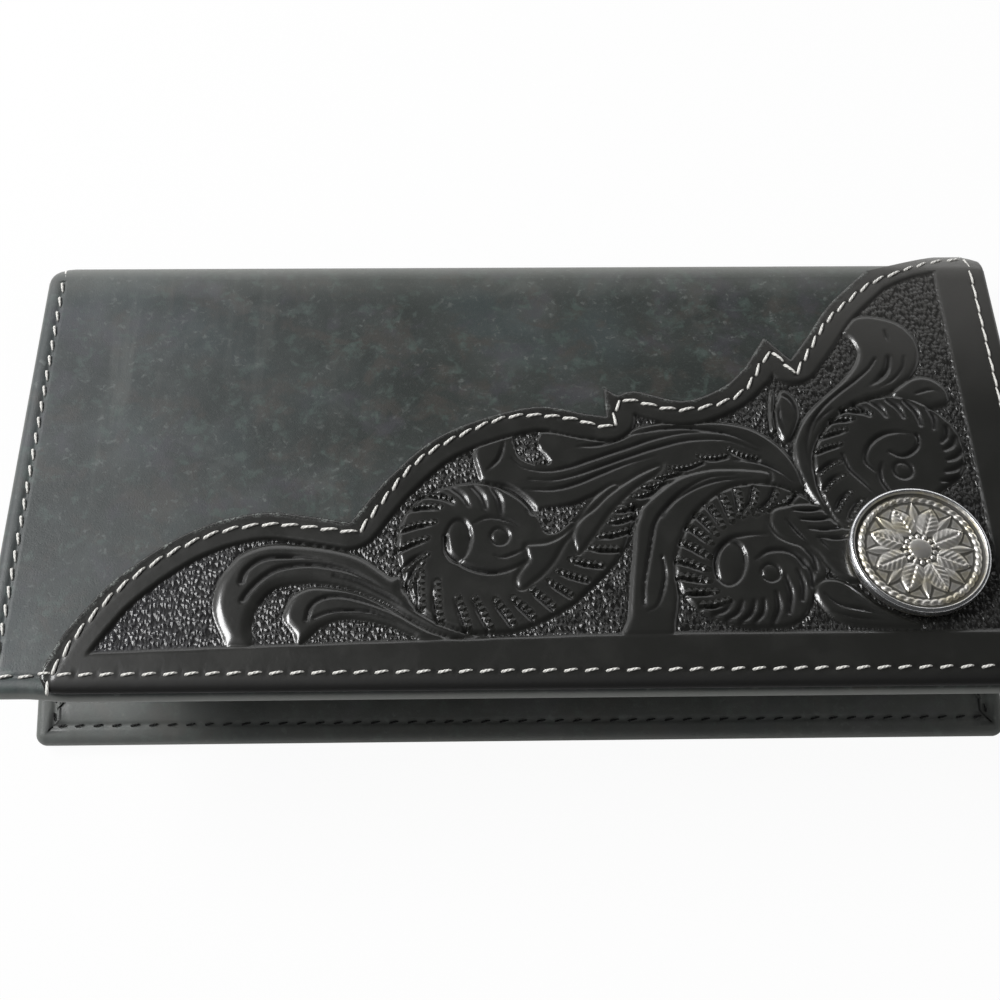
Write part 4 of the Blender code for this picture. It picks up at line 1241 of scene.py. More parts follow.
def carveBranch(relief):
    raiseShape(relief, branch)
    sinkPocket(relief, [(-1.7, 48.7), (-1.5, 46.3), (-0.7, 44.2), (1.2, 42.9), (3.2, 42.6), (5.0, 43.0),
        (4.3, 44.6), (3.1, 46.2), (2.9, 48), (3.2, 49.5), (1, 49.6)])
    cutGrooves(relief, 0.4, 0.2, (
        (1.15, 0.26, [(-6.5, 41.5), (-4.5, 43.8), (-3.6, 46.5), (-3.4, 48.3)]),
        (1.15, 0.26, [(-2, 44), (0, 42.1), (4, 41.3), (8, 42), (12, 43.5), (16, 45), (20, 46.5), (24, 48),
            (30, 49.3), (38, 49.3)]),
        (1.15, 0.26, [(1, 39.6), (5, 39.4), (9, 40.3), (14, 42.2), (19, 44.2), (24, 46), (30, 47.6),
            (37, 47.6), (43, 45)]),
        (1.15, 0.26, [(0, 37.6), (5, 37.4), (9.5, 38.6), (14, 40.7), (19, 42.8), (24, 44.3)]),
        (1.15, 0.26, [(3, 33.6), (8, 34.2), (12, 36), (16, 38.6)]),
        (1.15, 0.26, [(10, 46.4), (14, 46.8), (18, 48.2), (22, 50)]),
        (1.15, 0.26, [(20, 49.0), (26, 50.2), (32, 50.1), (38, 48.8), (43, 46)]),
        (1.15, 0.26, [(38, 43.4), (42, 43), (46, 41), (48.5, 38.5)]),
    ))
    cutSlits(relief, 1.1, 0.36, 1, (
        (24.2, 37.4, 19.2, 35.3, 0.1), (25.5, 38.6, 20.8, 37.4, 0.1), (28.5, 40.6, 23, 39.2, 0.05),
        (32.5, 42.6, 26.3, 41.2, 0.08), (37.0, 43.9, 31.5, 43.7, 0.08), (42.5, 43.2, 37, 45.4, 0.06),
    ))


def carveAcanthus(relief):
    raiseShape(relief, acanthus, 0.04, roll=1.8, drop=0.47)
    raiseShape(relief, secondLobe, 0.02, roll=1.2, drop=0.40)
    cutGrooves(relief, 0.9, 0.1, (
        (1.5, 0.34, [(-48.8, 19.4), (-48.4, 21.2), (-47, 22.9), (-45, 24), (-42, 24.3), (-38, 24.1),
            (-34, 23.5)]),
        (1.5, 0.34, [(-48.3, 16.0), (-47.5, 17.6), (-45.5, 20), (-43, 21.8), (-39.5, 22.6), (-36.5, 22.7),
            (-33, 22.1), (-30, 21.1), (-27, 19.5), (-24.5, 17.9), (-22.6, 17)]),
        (0.9, 0.16, [(-45.5, 15.5), (-43, 18), (-38, 18.8)]),
        (0.9, 0.2, [(-33, 20.6), (-29, 19.4), (-25, 17.3), (-21.5, 15.2), (-17, 12.4)]),
        (1.2, 0.3, [(-37.3, 12.2), (-36.8, 14.5), (-35.3, 16), (-33, 16.6), (-30, 16.3), (-26, 14.9),
            (-22, 12.8)]),
        (1.0, 0.24, [(-36, 12.6), (-33.5, 13.6), (-30, 13.9), (-26, 13.4), (-21, 11.4)]),
    ))


def carveStemC(relief):
    raiseShape(relief, stemC, 0.03, roll=1.0)
    cutGrooves(relief, 0.7, 0.3, (
        (1.2, 0.30, [(20, 14.5), (20.2, 18), (21, 22), (21.9, 26), (23, 30.5), (25.3, 33.8), (28.5, 37),
            (33, 39.6), (38, 40.2)]),
        (1.0, 0.30, [(23.7, 23.8), (23.9, 20), (23.3, 17), (22.2, 14.4), (20.4, 13.2)]),
        (0.9, 0.2, [(24.3, 31.5), (26.5, 34.6), (30.5, 37.4), (35, 39), (41, 39.6)]),
    ))


def carveFlowerOne(relief):
    raiseShape(relief, flowerOne, 0.0, roll=0.7)
    cutSeed(relief, (-11.8, 27.3), 2.2, 4.2, -6, 0.36, 1.0)
    cutSeed(relief, (-4.4, 28), 1.6, 1.7, 0, 0.3, 0.8)
    cutGroove(relief, [(-13.9, 28), (-13.4, 25), (-11.6, 23), (-9.5, 21.7), (-7, 21), (-4.5, 21), (-2, 21.8),
        (-0.3, 22.8)], 1.5, 0.34, start=0.8, end=0.5)
    cutGroove(relief, [(-5.4, 24.3), (-3.7, 23.9), (-1, 25), (0.6, 26.2)], 0.9, 0.22)
    cutGroove(relief, [(-9.3, 30.5), (-6.3, 31.8), (-2.8, 31), (0, 29)], 1.2, 0.16)
    cutGroove(relief, [(-6.8, 39.0), (-3.6, 38.0), (-1.0, 36.3), (0.9, 34.4), (1.5, 33.0)],
        2.3, 0.40, start=0.3, end=1)
    sinkPocket(relief, [(1.9, 33.0), (2.6, 30.6), (3.4, 28.6), (5.4, 28.4), (7.2, 29.6), (8.8, 31.6),
        (10.4, 33.8), (11.2, 35.2), (8, 34.2), (4.6, 34.0)], 0.55)
    cutSlits(relief, 0.95, 0.40, 1.15, (
        (-20.3, 33.2, -14.8, 33.4, 0.06), (-18.6, 36.0, -12.8, 34.9, 0.08), (-21.6, 28.9, -15.6, 30.4, 0.05),
        (-22.2, 24.9, -16.8, 27.2, 0.05), (-21.5, 21.6, -17.4, 25.0, 0.05), (-20.6, 18.0, -18.4, 23.2, 0.05),
        (7.6, 15.8, 3.4, 18.8, -0.02), (10.6, 18.8, 5.2, 20.6, 0.0), (13.4, 21.6, 7.4, 22.8, 0.02),
        (16.4, 24.8, 10.4, 25.2, 0.02), (18.4, 28.6, 12.4, 27.3, 0.04), (19.2, 31.4, 14.6, 30.1, 0.04),
        (19.8, 33.6, 15.8, 32.4, 0.04),
    ))
    cutSlits(relief, 1.05, 0.40, 1.3, (
        (-18.4, 14.0, -18.7, 21.2, 0.02), (-15.2, 11.5, -16.0, 19.4, 0.03), (-10.5, 10.0, -12.4, 15.9, -0.02),
        (-6.7, 10.0, -9.5, 15.7, -0.02), (-2.8, 10.7, -6.0, 15.4, -0.03), (0.9, 11.6, -2.9, 15.6, -0.03),
        (4.3, 13.5, 0.4, 17.2, -0.03),
    ))
    cutSlits(relief, 1.8, 0.30, 0, (
        (-13.0, 37.9, -9.9, 34.2, 0.1), (-9.1, 38.2, -6.8, 33.6, 0.1), (-5.8, 38.0, -4.1, 32.6, 0.1),
        (-16.0, 37.0, -12.6, 34.6, 0.08),
    ))


def carveFlowerTwo(relief):
    raiseShape(relief, flowerTwo, 0.0, roll=0.7)
    cutSeed(relief, (35.5, 22.4), 2.5, 4.3, -14, 0.38, 1.1)
    cutSeed(relief, (42.3, 20.5), 1.6, 1.7, 0, 0.3, 0.8)
    cutGroove(relief, [(33.0, 19.5), (32.7, 22.3), (33.6, 25), (35.8, 27.1), (39, 27.9), (42.5, 28.1)],
        1.3, 0.3, start=0.8, end=0.3)
    cutGroove(relief, [(39.9, 23.0), (42.2, 24.6), (45, 24.8), (47, 23.8), (48.2, 21.8)],
        1.4, 0.26, start=0.4, end=0.9)
    cutSlits(relief, 0.95, 0.40, 1.3, (
        (27.0, 26.2, 31.6, 22.9, 0.05), (25.9, 22.6, 31.2, 20.4, 0.05), (28.2, 29.4, 32, 25.8, 0.06),
        (29.9, 31.9, 33, 27.6, 0.06), (31.9, 34.0, 34.2, 29.2, 0.06), (34.6, 35.9, 35.8, 30.4, 0.06),
        (37.4, 37.1, 37.2, 31.6, 0.06), (40.9, 37.6, 37.9, 32.0, 0.10), (44.7, 37.4, 40.2, 32.4, 0.12),
        (48.7, 35.9, 42.2, 32.3, 0.14), (26.0, 19.4, 31.4, 18.2, 0.04), (27.2, 16.2, 32.6, 16.2, 0.03),
        (29.6, 13.8, 34.6, 14.6, -0.05),
    ))
    cutSlits(relief, 1.6, 0.30, 0, (
        (47.2, 15.2, 47.0, 20.8, -0.10), (49.2, 17.8, 48.0, 23.0, -0.12), (50.2, 20.8, 48.4, 25.4, -0.14),
        (44.6, 12.8, 44.6, 20.0, -0.10), (41.7, 11.0, 42.8, 16.6, -0.12), (38.6, 11.1, 40.5, 15.2, -0.14),
        (36.3, 11.2, 38.9, 15, -0.14), (34.0, 11.7, 36.8, 14.9, -0.14), (31.8, 12.6, 35.0, 14.8, -0.12),
    ))
    raiseShape(relief, footLeaf, -0.06)
    cutGroove(relief, [(51, 16.4), (53.5, 14.3), (57, 13.3), (61, 12.2)], 1.0, 0.22)
    cutGroove(relief, [(52, 13), (56, 11.8), (61, 11.3)], 0.9, 0.18)
    raiseShape(relief, sideLeaf, 0.02)
    cutGroove(relief, [(46.1, 31), (47.6, 28.6), (49.9, 25.5)], 0.8, 0.26)
    cutGroove(relief, [(51.2, 27.4), (53.2, 24.6)], 0.8, 0.22)
    cutSlits(relief, 0.9, 0.34, 0, (
        (53.2, 33.1, 47.6, 32.9, 0.04), (54.4, 31.3, 48.8, 31.0, 0.04), (55.5, 29.2, 50, 29.1, 0.04),
        (56.5, 27.2, 51.6, 27.4, 0.04),
    ))


def carveFlowerThree(relief):
    raiseShape(relief, hookLeaf, 0.05, roll=1.0)
    raiseShape(relief, earLobe, 0.03, roll=1.0)
    cutGrooves(relief, 0.8, 0.2, (
        (1.8, 0.40, [(69.7, 65.8), (68.8, 62.9), (66.9, 60.7), (65.2, 59.5)]),
        (1.0, 0.28, [(67, 65.6), (65.3, 63.2), (62.5, 60.6), (59, 57.8), (55.8, 54.8), (53.3, 51.3),
            (52.0, 48), (51.5, 44.5), (51.9, 40.5)]),
        (0.7, 0.16, [(57.3, 54.3), (54.5, 51.8), (52.9, 48.8)]),
        (1.0, 0.2, [(69.8, 72), (70.1, 69.6)]),
        (0.9, 0.18, [(72.5, 66), (71.8, 63.4), (69.5, 60.6), (66, 58.6)]),
        (0.9, 0.2, [(73.5, 57.6), (76, 58.4), (77.8, 58.2)]),
    ))
    raiseShape(relief, budLeaf, 0.0, roll=0.5)
    raiseShape(relief, bud, 0.04)
    cutGroove(relief, [(47.6, 55.5), (47.5, 52.5), (47.9, 49.2)], 0.8, 0.22)
    cutGroove(relief, [(48.6, 57.4), (49.8, 56.3), (50.4, 54.4), (50.1, 52.0)], 1.2, 0.2, start=0.8, end=0.3)
    raiseShape(relief, flowerThree, 0.0, roll=0.7)
    cutGroove(relief, [(65.3, 36.5), (64.3, 38.6), (64.2, 40.4), (64.9, 42.6)], 1.2, 0.28, start=1, end=0.4)
    cutGroove(relief, [(63.4, 40.8), (62.0, 42.6), (62.2, 44.6), (63.6, 46.9), (66, 48.6), (69, 49.1),
        (71.6, 48.6)], 1.4, 0.3)
    cutGroove(relief, [(66.6, 44.9), (68.9, 43.9), (71.3, 45.2), (72.3, 47.1), (72.1, 48.4)],
        1.2, 0.32, start=0.6, end=0.9)
    cutSeed(relief, (68.5, 41), 1.7, 1.7, 0, 0.3, 1.2)
    cutGroove(relief, [(57.9, 44.3), (58.7, 41.3), (60.7, 38.7), (63.2, 35.4)], 1.0, 0.26, start=0.9, end=0.3)
    cutSlits(relief, 1.0, 0.42, 1, (
        (54.6, 47.8, 59.6, 49.3, 0.04), (53.4, 44.6, 58.2, 46.2, 0.05), (53.0, 40.5, 57.2, 43.4, 0.06),
        (53.5, 37.0, 57.4, 40.4, 0.08), (56.7, 51.3, 61.2, 51.6, 0.04), (58.8, 53.8, 64.4, 52.8, 0.05),
        (55.2, 32.8, 58.2, 36.9, 0.06), (57.2, 30.8, 60, 35.2, 0.06),
    ))
    cutSlits(relief, 1.7, 0.40, 0, (
        (64.6, 56.0, 67.2, 52.6, 0.12), (67.9, 56.3, 70.4, 52.4, 0.12), (71.1, 56.0, 73.3, 50.6, 0.12),
        (61.6, 55.2, 64.1, 52.8, 0.10),
    ))
    cutSlits(relief, 1.8, 0.30, 0, (
        (75.2, 54.2, 75.6, 49.8, 0.12), (77.9, 50.0, 76.5, 46.8, 0.12), (79, 47.7, 76.8, 45.2, 0.12),
        (79.9, 45, 77, 43, 0.1), (79.5, 42.2, 76.2, 40.6, 0.1), (78, 39.4, 75.2, 38.6, 0.1),
    ))


def evenStations(low, high, span):
    return np.linspace(low, high, max(1, round((high - low) / span)) + 1)


def yokeOutline():
    right, front, radius = yoke["right"] / mm, yoke["front"] / mm, yoke["corner"] / mm
    corner = [(right - radius * (1 - cos(a)), front + radius * (1 - sin(a)))
              for a in np.linspace(0, pi / 2, 7)]
    return np.vstack([cutLine, [(right, creaseLine / mm)], corner])


def yokeRow():
    # hole places along the scallop; a hole stands at each sharp turn of the row
    parts = []
    for curve in betweenTurns(scallopStitches, 8):
        length = np.hypot(*np.diff(curve, axis=0).T).sum()
        count = max(1, round(length / yoke["stitch"]))
        parts.append(alongLine(curve, np.linspace(0, length, count + 1)))
    return joined(parts)


def edgeRow():
    # hole places along the front and right edges, on the yoke
    inset, side = leather["rowInset"] / mm, rowSide / mm
    along = [(-side + k * frontPitch / mm, inset) for k in range(coverRows["frontCount"] + 1)]
    up = [(side, inset + k * sidePitch / mm) for k in range(1, coverRows["sideCount"])]
    return np.array([spot for spot in along if spot[0] > yoke["firstHole"]] + up)


def pressStitches(relief):
    # the thread pulls the leather down in a shallow line, deeper at each hole, and shade is painted into each
    # hole
    for line in (yokeRow(), edgeRow()):
        chosen, spots, gap, run = nearby(relief, line, 2.0)
        relief["height"][chosen] -= tooling["stitchPress"] * smoothStep(gap, *tooling["stitchReach"])
        for hole in line:
            close = np.hypot(*(spots - hole).T) < 1.0
            away = np.hypot(*(spots[close] - hole).T)
            pit = tooling["holePress"] * np.exp(-(away / tooling["holeWidth"]) ** 2)
            relief["height"][chosen[close]] -= pit
            darken(relief, chosen[close], np.exp(-(away / tooling["holeShade"]) ** 2))


def drawRim(piece, outline):
    # draws the ragged rim of a cut-out grid onto the cut line, and lets the points beside it even out
    spots = readPoints(piece)[:, :2] / mm
    ends = readMesh(piece.data.edges, "vertices", 2, int)
    counts = np.bincount(readMesh(piece.data.loops, "edge_index", 1, int)[:, 0], minlength=len(ends))
    rim = np.zeros(len(spots), bool)
    rim[ends[counts == 1].ravel()] = True
    loop = np.vstack([outline, outline[:1]])
    spots[rim] = alongLine(loop, nearLine(spots[rim], loop)[1])
    loose = (nearLine(spots, loop)[0] < yoke["relaxed"]) & ~rim
    links = np.bincount(ends.ravel(), minlength=len(spots))[:, None]
    for turn in range(yoke["relaxTurns"]):
        total = np.zeros_like(spots)
        np.add.at(total, ends[:, 0], spots[ends[:, 1]])
        np.add.at(total, ends[:, 1], spots[ends[:, 0]])
        spots[loose] = (total / links)[loose]
    return spots


def makeYoke():
    outline = yokeOutline()
    span, wide = yoke["spacing"] / mm, yoke["plainSpacing"] / mm
    right, front = yoke["plainRight"] / mm, yoke["plainFront"] / mm
    low, high = outline.min(0), outline.max(0)
    across = [evenStations(low[0], right, span), evenStations(right, high[0], wide)]
    up = [evenStations(low[1], front, wide), evenStations(front, high[1], span)]
    across, up = np.unique(np.concatenate(across)), np.unique(np.concatenate(up))
    piece = startGrid("tooledYoke", len(across) - 1, len(up) - 1)
    column, row = readPoints(piece)[:, :2].T.astype(int)
    writePoints(piece, np.stack([across[column] * mm, up[row] * mm, np.zeros(len(row))], 1))
    middles = readMesh(piece.data.polygons, "center", 3)[:, :2] / mm
    outside = ~insideLoop(middles, outline)
    editChosen(piece, "FACE", {"polygons": outside}, (bpy.ops.mesh.delete, {"type": "FACE"}))
    spots = drawRim(piece, outline)
    relief = {name: np.zeros(len(spots)) for name in ("height", "ground", "beads", "beadRun", "cuts")}
    relief["spots"] = spots
    print("yoke cut out:", len(spots), "points")
    toolField(relief)
    # the rim is rounded all round, and rolled down along the open edge
    edge, run = nearLine(spots, np.vstack([outline[len(cutLine):], cutLine]))
    inward = spots[:, 1] - yoke["front"] / mm
    relief["height"] -= yoke["edgeDrop"] / mm * rounding(edge / (yoke["edgeRound"] / mm))
    relief["height"] -= (yoke["rollDrop"] - yoke["edgeDrop"]) / mm * rounding(inward * mm / yoke["rollWidth"])
    pressStitches(relief)
    writePoints(piece, np.column_stack([spots, yokeFace / mm - relief["height"]]) * mm)
    for name in ("ground", "beads", "beadRun", "cuts"):
        setAttribute(piece, name, relief[name])
    rawEdge, run = nearLine(spots, cutLine)
    # the raw edge is frayed most at the left
    frayed = yoke["frayed"] + (1 - yoke["frayed"]) * smoothStep(spots[:, 0], 0, -45)
    setAttribute(piece, "cutEdge", smoothStep(rawEdge, *yoke["rawWidth"]) * frayed)
    setAttribute(piece, "rim", yoke["rimShade"] * smoothStep(inward, *yoke["rimWidth"]))
    closeUnder(piece)
    settle(piece, onFront, yokeLeather, "tooled_yoke", "front_half", 60)
    print("yoke made:", len(piece.data.polygons), "faces")


def closeUnder(piece):
    # walls from the rim down in steps, leaning in along the open edge, and a flat underside
    drawn = len(piece.data.vertices)
    chooseOnly(piece)
    bpy.ops.object.mode_set(mode="EDIT")
    bpy.ops.mesh.select_mode(type="EDGE")
    bpy.ops.mesh.select_all(action="DESELECT")
    bpy.ops.mesh.select_non_manifold(extend=False, use_wire=False, use_multi_face=False,
                                     use_non_contiguous=False, use_verts=False)
    for step in range(yoke["wallSteps"]):
        bpy.ops.mesh.extrude_edges_move(TRANSFORM_OT_translate={"value": (0, 0, yoke["wallStep"])})
    bpy.ops.object.mode_set(mode="OBJECT")
    chosen = readMesh(piece.data.vertices, "select", 1, bool)[:, 0]
    spots = readPoints(piece)
    spots[chosen, 2] = -yoke["lift"]
    spots[chosen & (spots[:, 1] < 0.6 * mm), 1] += yoke["lean"]
    writePoints(piece, spots)
    bpy.ops.object.mode_set(mode="EDIT")
    bpy.ops.mesh.fill()
    bpy.ops.mesh.select_mode(type="VERT")
    bpy.ops.object.mode_set(mode="OBJECT")
    values = np.zeros(len(piece.data.vertices), np.float32)
    for name in ("cutEdge", "ground", "beads", "cuts"):
        layer = piece.data.attributes[name]
        layer.data.foreach_get("value", values)
        values[drawn:] = 0
        layer.data.foreach_set("value", values)


makeYoke()


tab = {"length": 6.0 * mm, "endWidth": 7.0 * mm, "skived": 0.6 * mm, "span": 0.7 * mm, "columns": 41,
       "rounded": 0.6, "raw": 0.4 * mm}


def tabTop(around):
    # height of the tab's face at a place round the fold: it is thinner towards its end
    share = np.clip((foldLength - leather["creaseGap"] - around) / tab["length"], 0, 1)
    return tab["skived"] * share ** 2 + yokeFace


def makeYokeTab():
    right, start = yoke["right"], cutLine[-1][0] * mm
    end = right - tab["endWidth"]
    last = foldLength - leather["creaseGap"]
    up = stations(last - tab["length"], last, tab["span"])
    piece = makeSlab("yokeFoldTab", np.linspace(0, 1, tab["columns"]), up, yokeFace, -yoke["lift"], 0)
    spots = readPoints(piece)
    left = end + (start - end) * ((spots[:, 1] - up[0]) / (up[-1] - up[0])) ** 2
    fromEdge = np.minimum(np.minimum(spots[:, 0], 1 - spots[:, 0]) * (right - left), spots[:, 1] - up[0])
    spots[:, 0] = left + spots[:, 0] * (right - left)
    drop = tab["rounded"] * yoke["edgeRound"] * rounding(fromEdge / yoke["edgeRound"])
    face = spots[:, 2] < (yokeFace - yoke["lift"]) / 2
    spots[:, 2] = np.where(face, tabTop(spots[:, 1]) + drop, spots[:, 2])
    writePoints(piece, spots)
    setAttribute(piece, "cutEdge", smoothStep(fromEdge, tab["raw"], 0.0))
    settle(piece, roundFold, yokeLeather, "yoke_fold_tab", angle=60)
    bendWithFold(piece, *foldHalves["Front"])


makeYokeTab()
print("yoke tab made")


stitch = {
    "rings": 8,
    "sides": 8,
    "radius": 0.235 * mm,
    "taper": 0.30,
    "lobes": 0.09,
    "twist": 7,
    "rise": 0.16 * mm,
    "dive": 0.42 * mm,
    "smooth": 70,
}


def makeStitch():
    # one stitch of unit length along X: a two-strand twist that comes out of one hole and goes into the next
    piece = startGrid("stitch", stitch["rings"], stitch["sides"])
    grid = readPoints(piece)
    along = grid[:, 0] / stitch["rings"] - 0.5
    around = grid[:, 1] / stitch["sides"]
    angle = around * 2 * pi
    end = np.clip(np.abs(along) * 2, 0, 1)
    radius = stitch["radius"] * np.sqrt(np.clip(1 - end ** 6, 0, 1)) * (1 - stitch["taper"] * along * 2)
    radius *= 1 + stitch["lobes"] * np.cos(2 * (angle - along * stitch["twist"]))
    height = stitch["rise"] - stitch["dive"] * end ** 3
    setAttribute(piece, "alongStitch", along)
    setAttribute(piece, "aroundStitch", around)
    writePoints(piece, np.stack([along, radius * np.cos(angle), height + radius * np.sin(angle)], 1))
    mergeClose(piece, 0.0005 * mm)
    editWhole(piece, bpy.ops.mesh.normals_make_consistent, inside=False)
    return piece


def unit(vector):
    return vector / np.linalg.norm(vector)


def sewRow(name, holes, place, finish, node, body=None, out=1, share=0.8, size=1.0, slant=0.20):
    # copies the stitch between each pair of holes, leaned a little, and joins the row
    copies = []
    holes = np.asarray(holes, float)
    for a, b in zip(holes, holes[1:]):
        middle = (a + b) / 2
        first, last, inner, outer = place(np.array([a, b, middle, middle - (0, 0, out * 0.05 * mm)]))
        outwards = unit(outer - inner)
        length = np.linalg.norm(last - first)
        across = unit(np.cross(outwards, (last - first) / length))
        leaned = np.cross(across, outwards) * cos(slant) + across * sin(slant)
        matrix = np.eye(4)
        side = np.cross(outwards, leaned)
        middle = (first + last) / 2
        matrix[:3] = np.column_stack([leaned * length * share, side * size, outwards * size, middle])
        copy = stitchMaster.copy()
        copy.data = stitchMaster.data.copy()
        copy.data.transform(Matrix(matrix.tolist()))
        bpy.context.scene.collection.objects.link(copy)
        copies.append(copy)
    chooseOnly(*copies)
    bpy.ops.object.join()
    row = bpy.context.object
    row.name = row.data.name = name
    return dress(row, finish, node, body, stitch["smooth"])


def edgeHoles(height, shift=0.0):
    # holes of the row round the three outer edges of a half, from the left crease to the right crease
    inset, end = leather["rowInset"], rowSide - shift
    side = [inset + k * sidePitch for k in range(1, coverRows["sideCount"] + 1)]
    front = [-rowSide + k * frontPitch for k in range(1, coverRows["frontCount"])]
    places = [(-end, v) for v in side[::-1]] + [(u, inset + shift) for u in (-end, *front, end)]
    return [(u, v, height) for u, v in places + [(end, v) for v in side]]


def sewEdges():
    rows = {"backHeight": 0.52 * mm, "yokeFrom": -80.5 * mm,
            "stepDown": (-81.5 * mm, leather["rowInset"], -1.75 * mm)}
    sewRow("backOuterThread", edgeHoles(rows["backHeight"]), onBack, whiteThread, "back_outer_thread",
           "back_half", size=0.8)
    inner = edgeHoles(leather["edge"], leather["innerRow"] - leather["rowInset"])
    for half, place in (("back", onBack), ("front", onFront)):
        sewRow(half + "InnerThread", inner, place, blackThread, half + "_inner_thread", half + "_half", -1,
               0.55, 0.7)
    # the front half's outer row runs over the cover at the left and over the yoke from there on
    holes = np.array(edgeHoles(0))
    onYoke = (holes[:, 1] < 4 * mm) & (holes[:, 0] > rows["yokeFrom"]) | (holes[:, 0] > 0)
    holes[onYoke, 2] = yokeFace
    tooled = np.vstack([rows["stepDown"], holes[onYoke]])
    turn = int(np.argmax(tooled[:, 0])) + 1
    # short stitches along the front, nearly touching ones up the right edge
    for name, part, share, size, slant in (("Left", holes[:int(np.argmax(onYoke))], 0.8, 1.0, 0.20),
                                           ("Front", tooled[:turn], 0.78, 0.98, 0.20),
                                           ("Right", tooled[turn - 1:], 1.15, 0.90, 0.07)):
        sewRow("frontOuterThread" + name, part, onFront, whiteThread, "front_outer_thread", "front_half", 1,
               share, size, slant)
    row = yokeRow() * mm
    rolled = yoke["rollDrop"] * rounding((row[:, 1] - yoke["front"]) / yoke["rollWidth"])
    sewRow("yokeThread", np.column_stack([row, rolled + yokeFace]), onFront, whiteThread, "yoke_thread",
           "front_half", 1, 1.0, 1.08)


def sewColumns():
    # black rows that divide the card tiers, one stretch on each tier
    look = {"above": 0.8 * mm, "first": 3.2 * mm, "below": 0.9 * mm}
    backColumn = -layers["columnGap"] / 2 - leather["rowInset"]
    for half, place, u in (("back", onBack, backColumn), ("front", onFront, 0.0)):
        for tier in range(layers["tiers"]):
            top, mouth = tierPlace(tier)
            low = mouth - layers["mouthStep"] + look["above"]
            if tier == layers["tiers"] - 1:
                low = layers["columnFront"] + look["first"]
            high = mouth - look["below"]
            marks = np.linspace(low, high, max(2, round((high - low) / sidePitch)) + 1)
            sewRow(f"{half}ColumnThread{tier + 1}", [(u, v, top) for v in marks], place, blackThread,
                   None if tier else half + "_column_thread", half + "_half", -1)


def sewFold():
    # the outer rows go on round the fold, over the tab at the right, and so does the yoke's own row
    tabStart = foldLength - leather["creaseGap"] - tab["length"]
    runs = (
        ("Left", -rowSide, 0, foldMiddle, "Back"),
        ("Left", -rowSide, foldMiddle, foldLength, "Front"),
        ("Right", rowSide, 0, foldMiddle, "Back"),
        ("Right", rowSide, foldMiddle, tabStart - 0.1 * mm, "Front"),
        ("Tab", rowSide, tabStart + 0.3 * mm, foldLength, "Front"),
    )
    sewn = []
    for name, u, low, high, ending in runs:
        marks = np.linspace(low, high, max(1, round((high - low) / sidePitch)) + 1)
        holes = [(u, s, tabTop(s) if name == "Tab" else 0) for s in marks]
        node = "spine_thread_left" if u < 0 else "spine_thread_right"
        sewn.append(("spineThread" + name, holes, ending, node))
    along, up = stitchesOverFold.T * mm
    around = foldLength - (up - halfDepth)
    sewn.append(("yokeThreadTab", np.column_stack([along, around, tabTop(around)]), "Front", "yoke_thread"))
    for name, holes, ending, node in sewn:
        row = sewRow(name + ending, holes, roundFold, whiteThread, node, share=0.95)
        bendWithFold(row, *foldHalves[ending])


stitchMaster = makeStitch()
sewEdges()
sewColumns()
sewFold()
bpy.data.objects.remove(stitchMaster)
print("stitches sewn")


# the concho, its pattern in millimetres
concho = {
    "u": halfWidth - 23.9 * mm,
    "v": 23.6 * mm,
    "radius": 12.2,
    "height": 2.4,
    "rim": 0.9,
    "field": 0.6,
    "dish": 0.35,
    "dome": 0.25,
    "roll": 0.62,
    "seat": 0.2 * mm,
    "rings": 58,
    "turns": 288,
    "petals": {"from": 2.9, "to": 8.7, "wide": 2.55, "skew": 0.85, "full": 0.75, "taper": 0.12},
    "leaves": {"from": 5.2, "to": 9.3, "wide": 0.95, "skew": 0.8, "full": 1, "taper": 0},
    "count": 8,
    "middle": 2.0,
    "beads": 14,
    "beadRing": 2.5,
    "beadSize": 0.5,
    "rope": 10.1,
    "ropeWidth": 0.62,
    "strands": 46,
    "twist": 3.2,
    "veinWidth": 0.28,
    "veinEnd": 0.85,
    "ribPitch": 0.95,
    "ribSlant": 0.9,
    "plainEdge": 0.12,
    # how high each raised shape stands, and how deep its vein and ribs are
    "petalHigh": 0.46,
    "veinDeep": 0.20,
    "ribDeep": 0.10,
    "leafHigh": 0.30,
    "middleHigh": 0.42,
    "middleDome": 0.22,
    "beadHigh": 0.36,
    "ropeHigh": 0.20,
    "strandHigh": 0.26,
    # heights between which a place is dark, and distances from the raised shapes over which it clears
    "darkBelow": (0.04, 0.30),
    "clearFrom": (0.15, 0.75),
    "cleared": 0.75,
}


def domed(share):
    return np.sqrt(np.clip(1 - share ** 2, 0, 1))


def petalRing(r, angle, look, shift=0.0):
    # a ring of pointed petals: how full each is, distance from its vein, its half width, the share along it
    x = ((angle * concho["count"] / (2 * pi) + shift) % 1 - 0.5) * 2 * pi * r / concho["count"]
    share = np.clip((r - look["from"]) / (look["to"] - look["from"]), 0, 1)
    wide = look["wide"] * np.sin(pi * share ** look["skew"]) ** look["full"]
    wide = wide * (1 - look["taper"] * share) + 1e-6
    over = 1 - np.abs(x) / wide
    full = np.where((r > look["from"]) & (r < look["to"]) & (over > 0), np.sqrt(np.clip(over, 0, 1)), 0)
    return full, x, wide, share


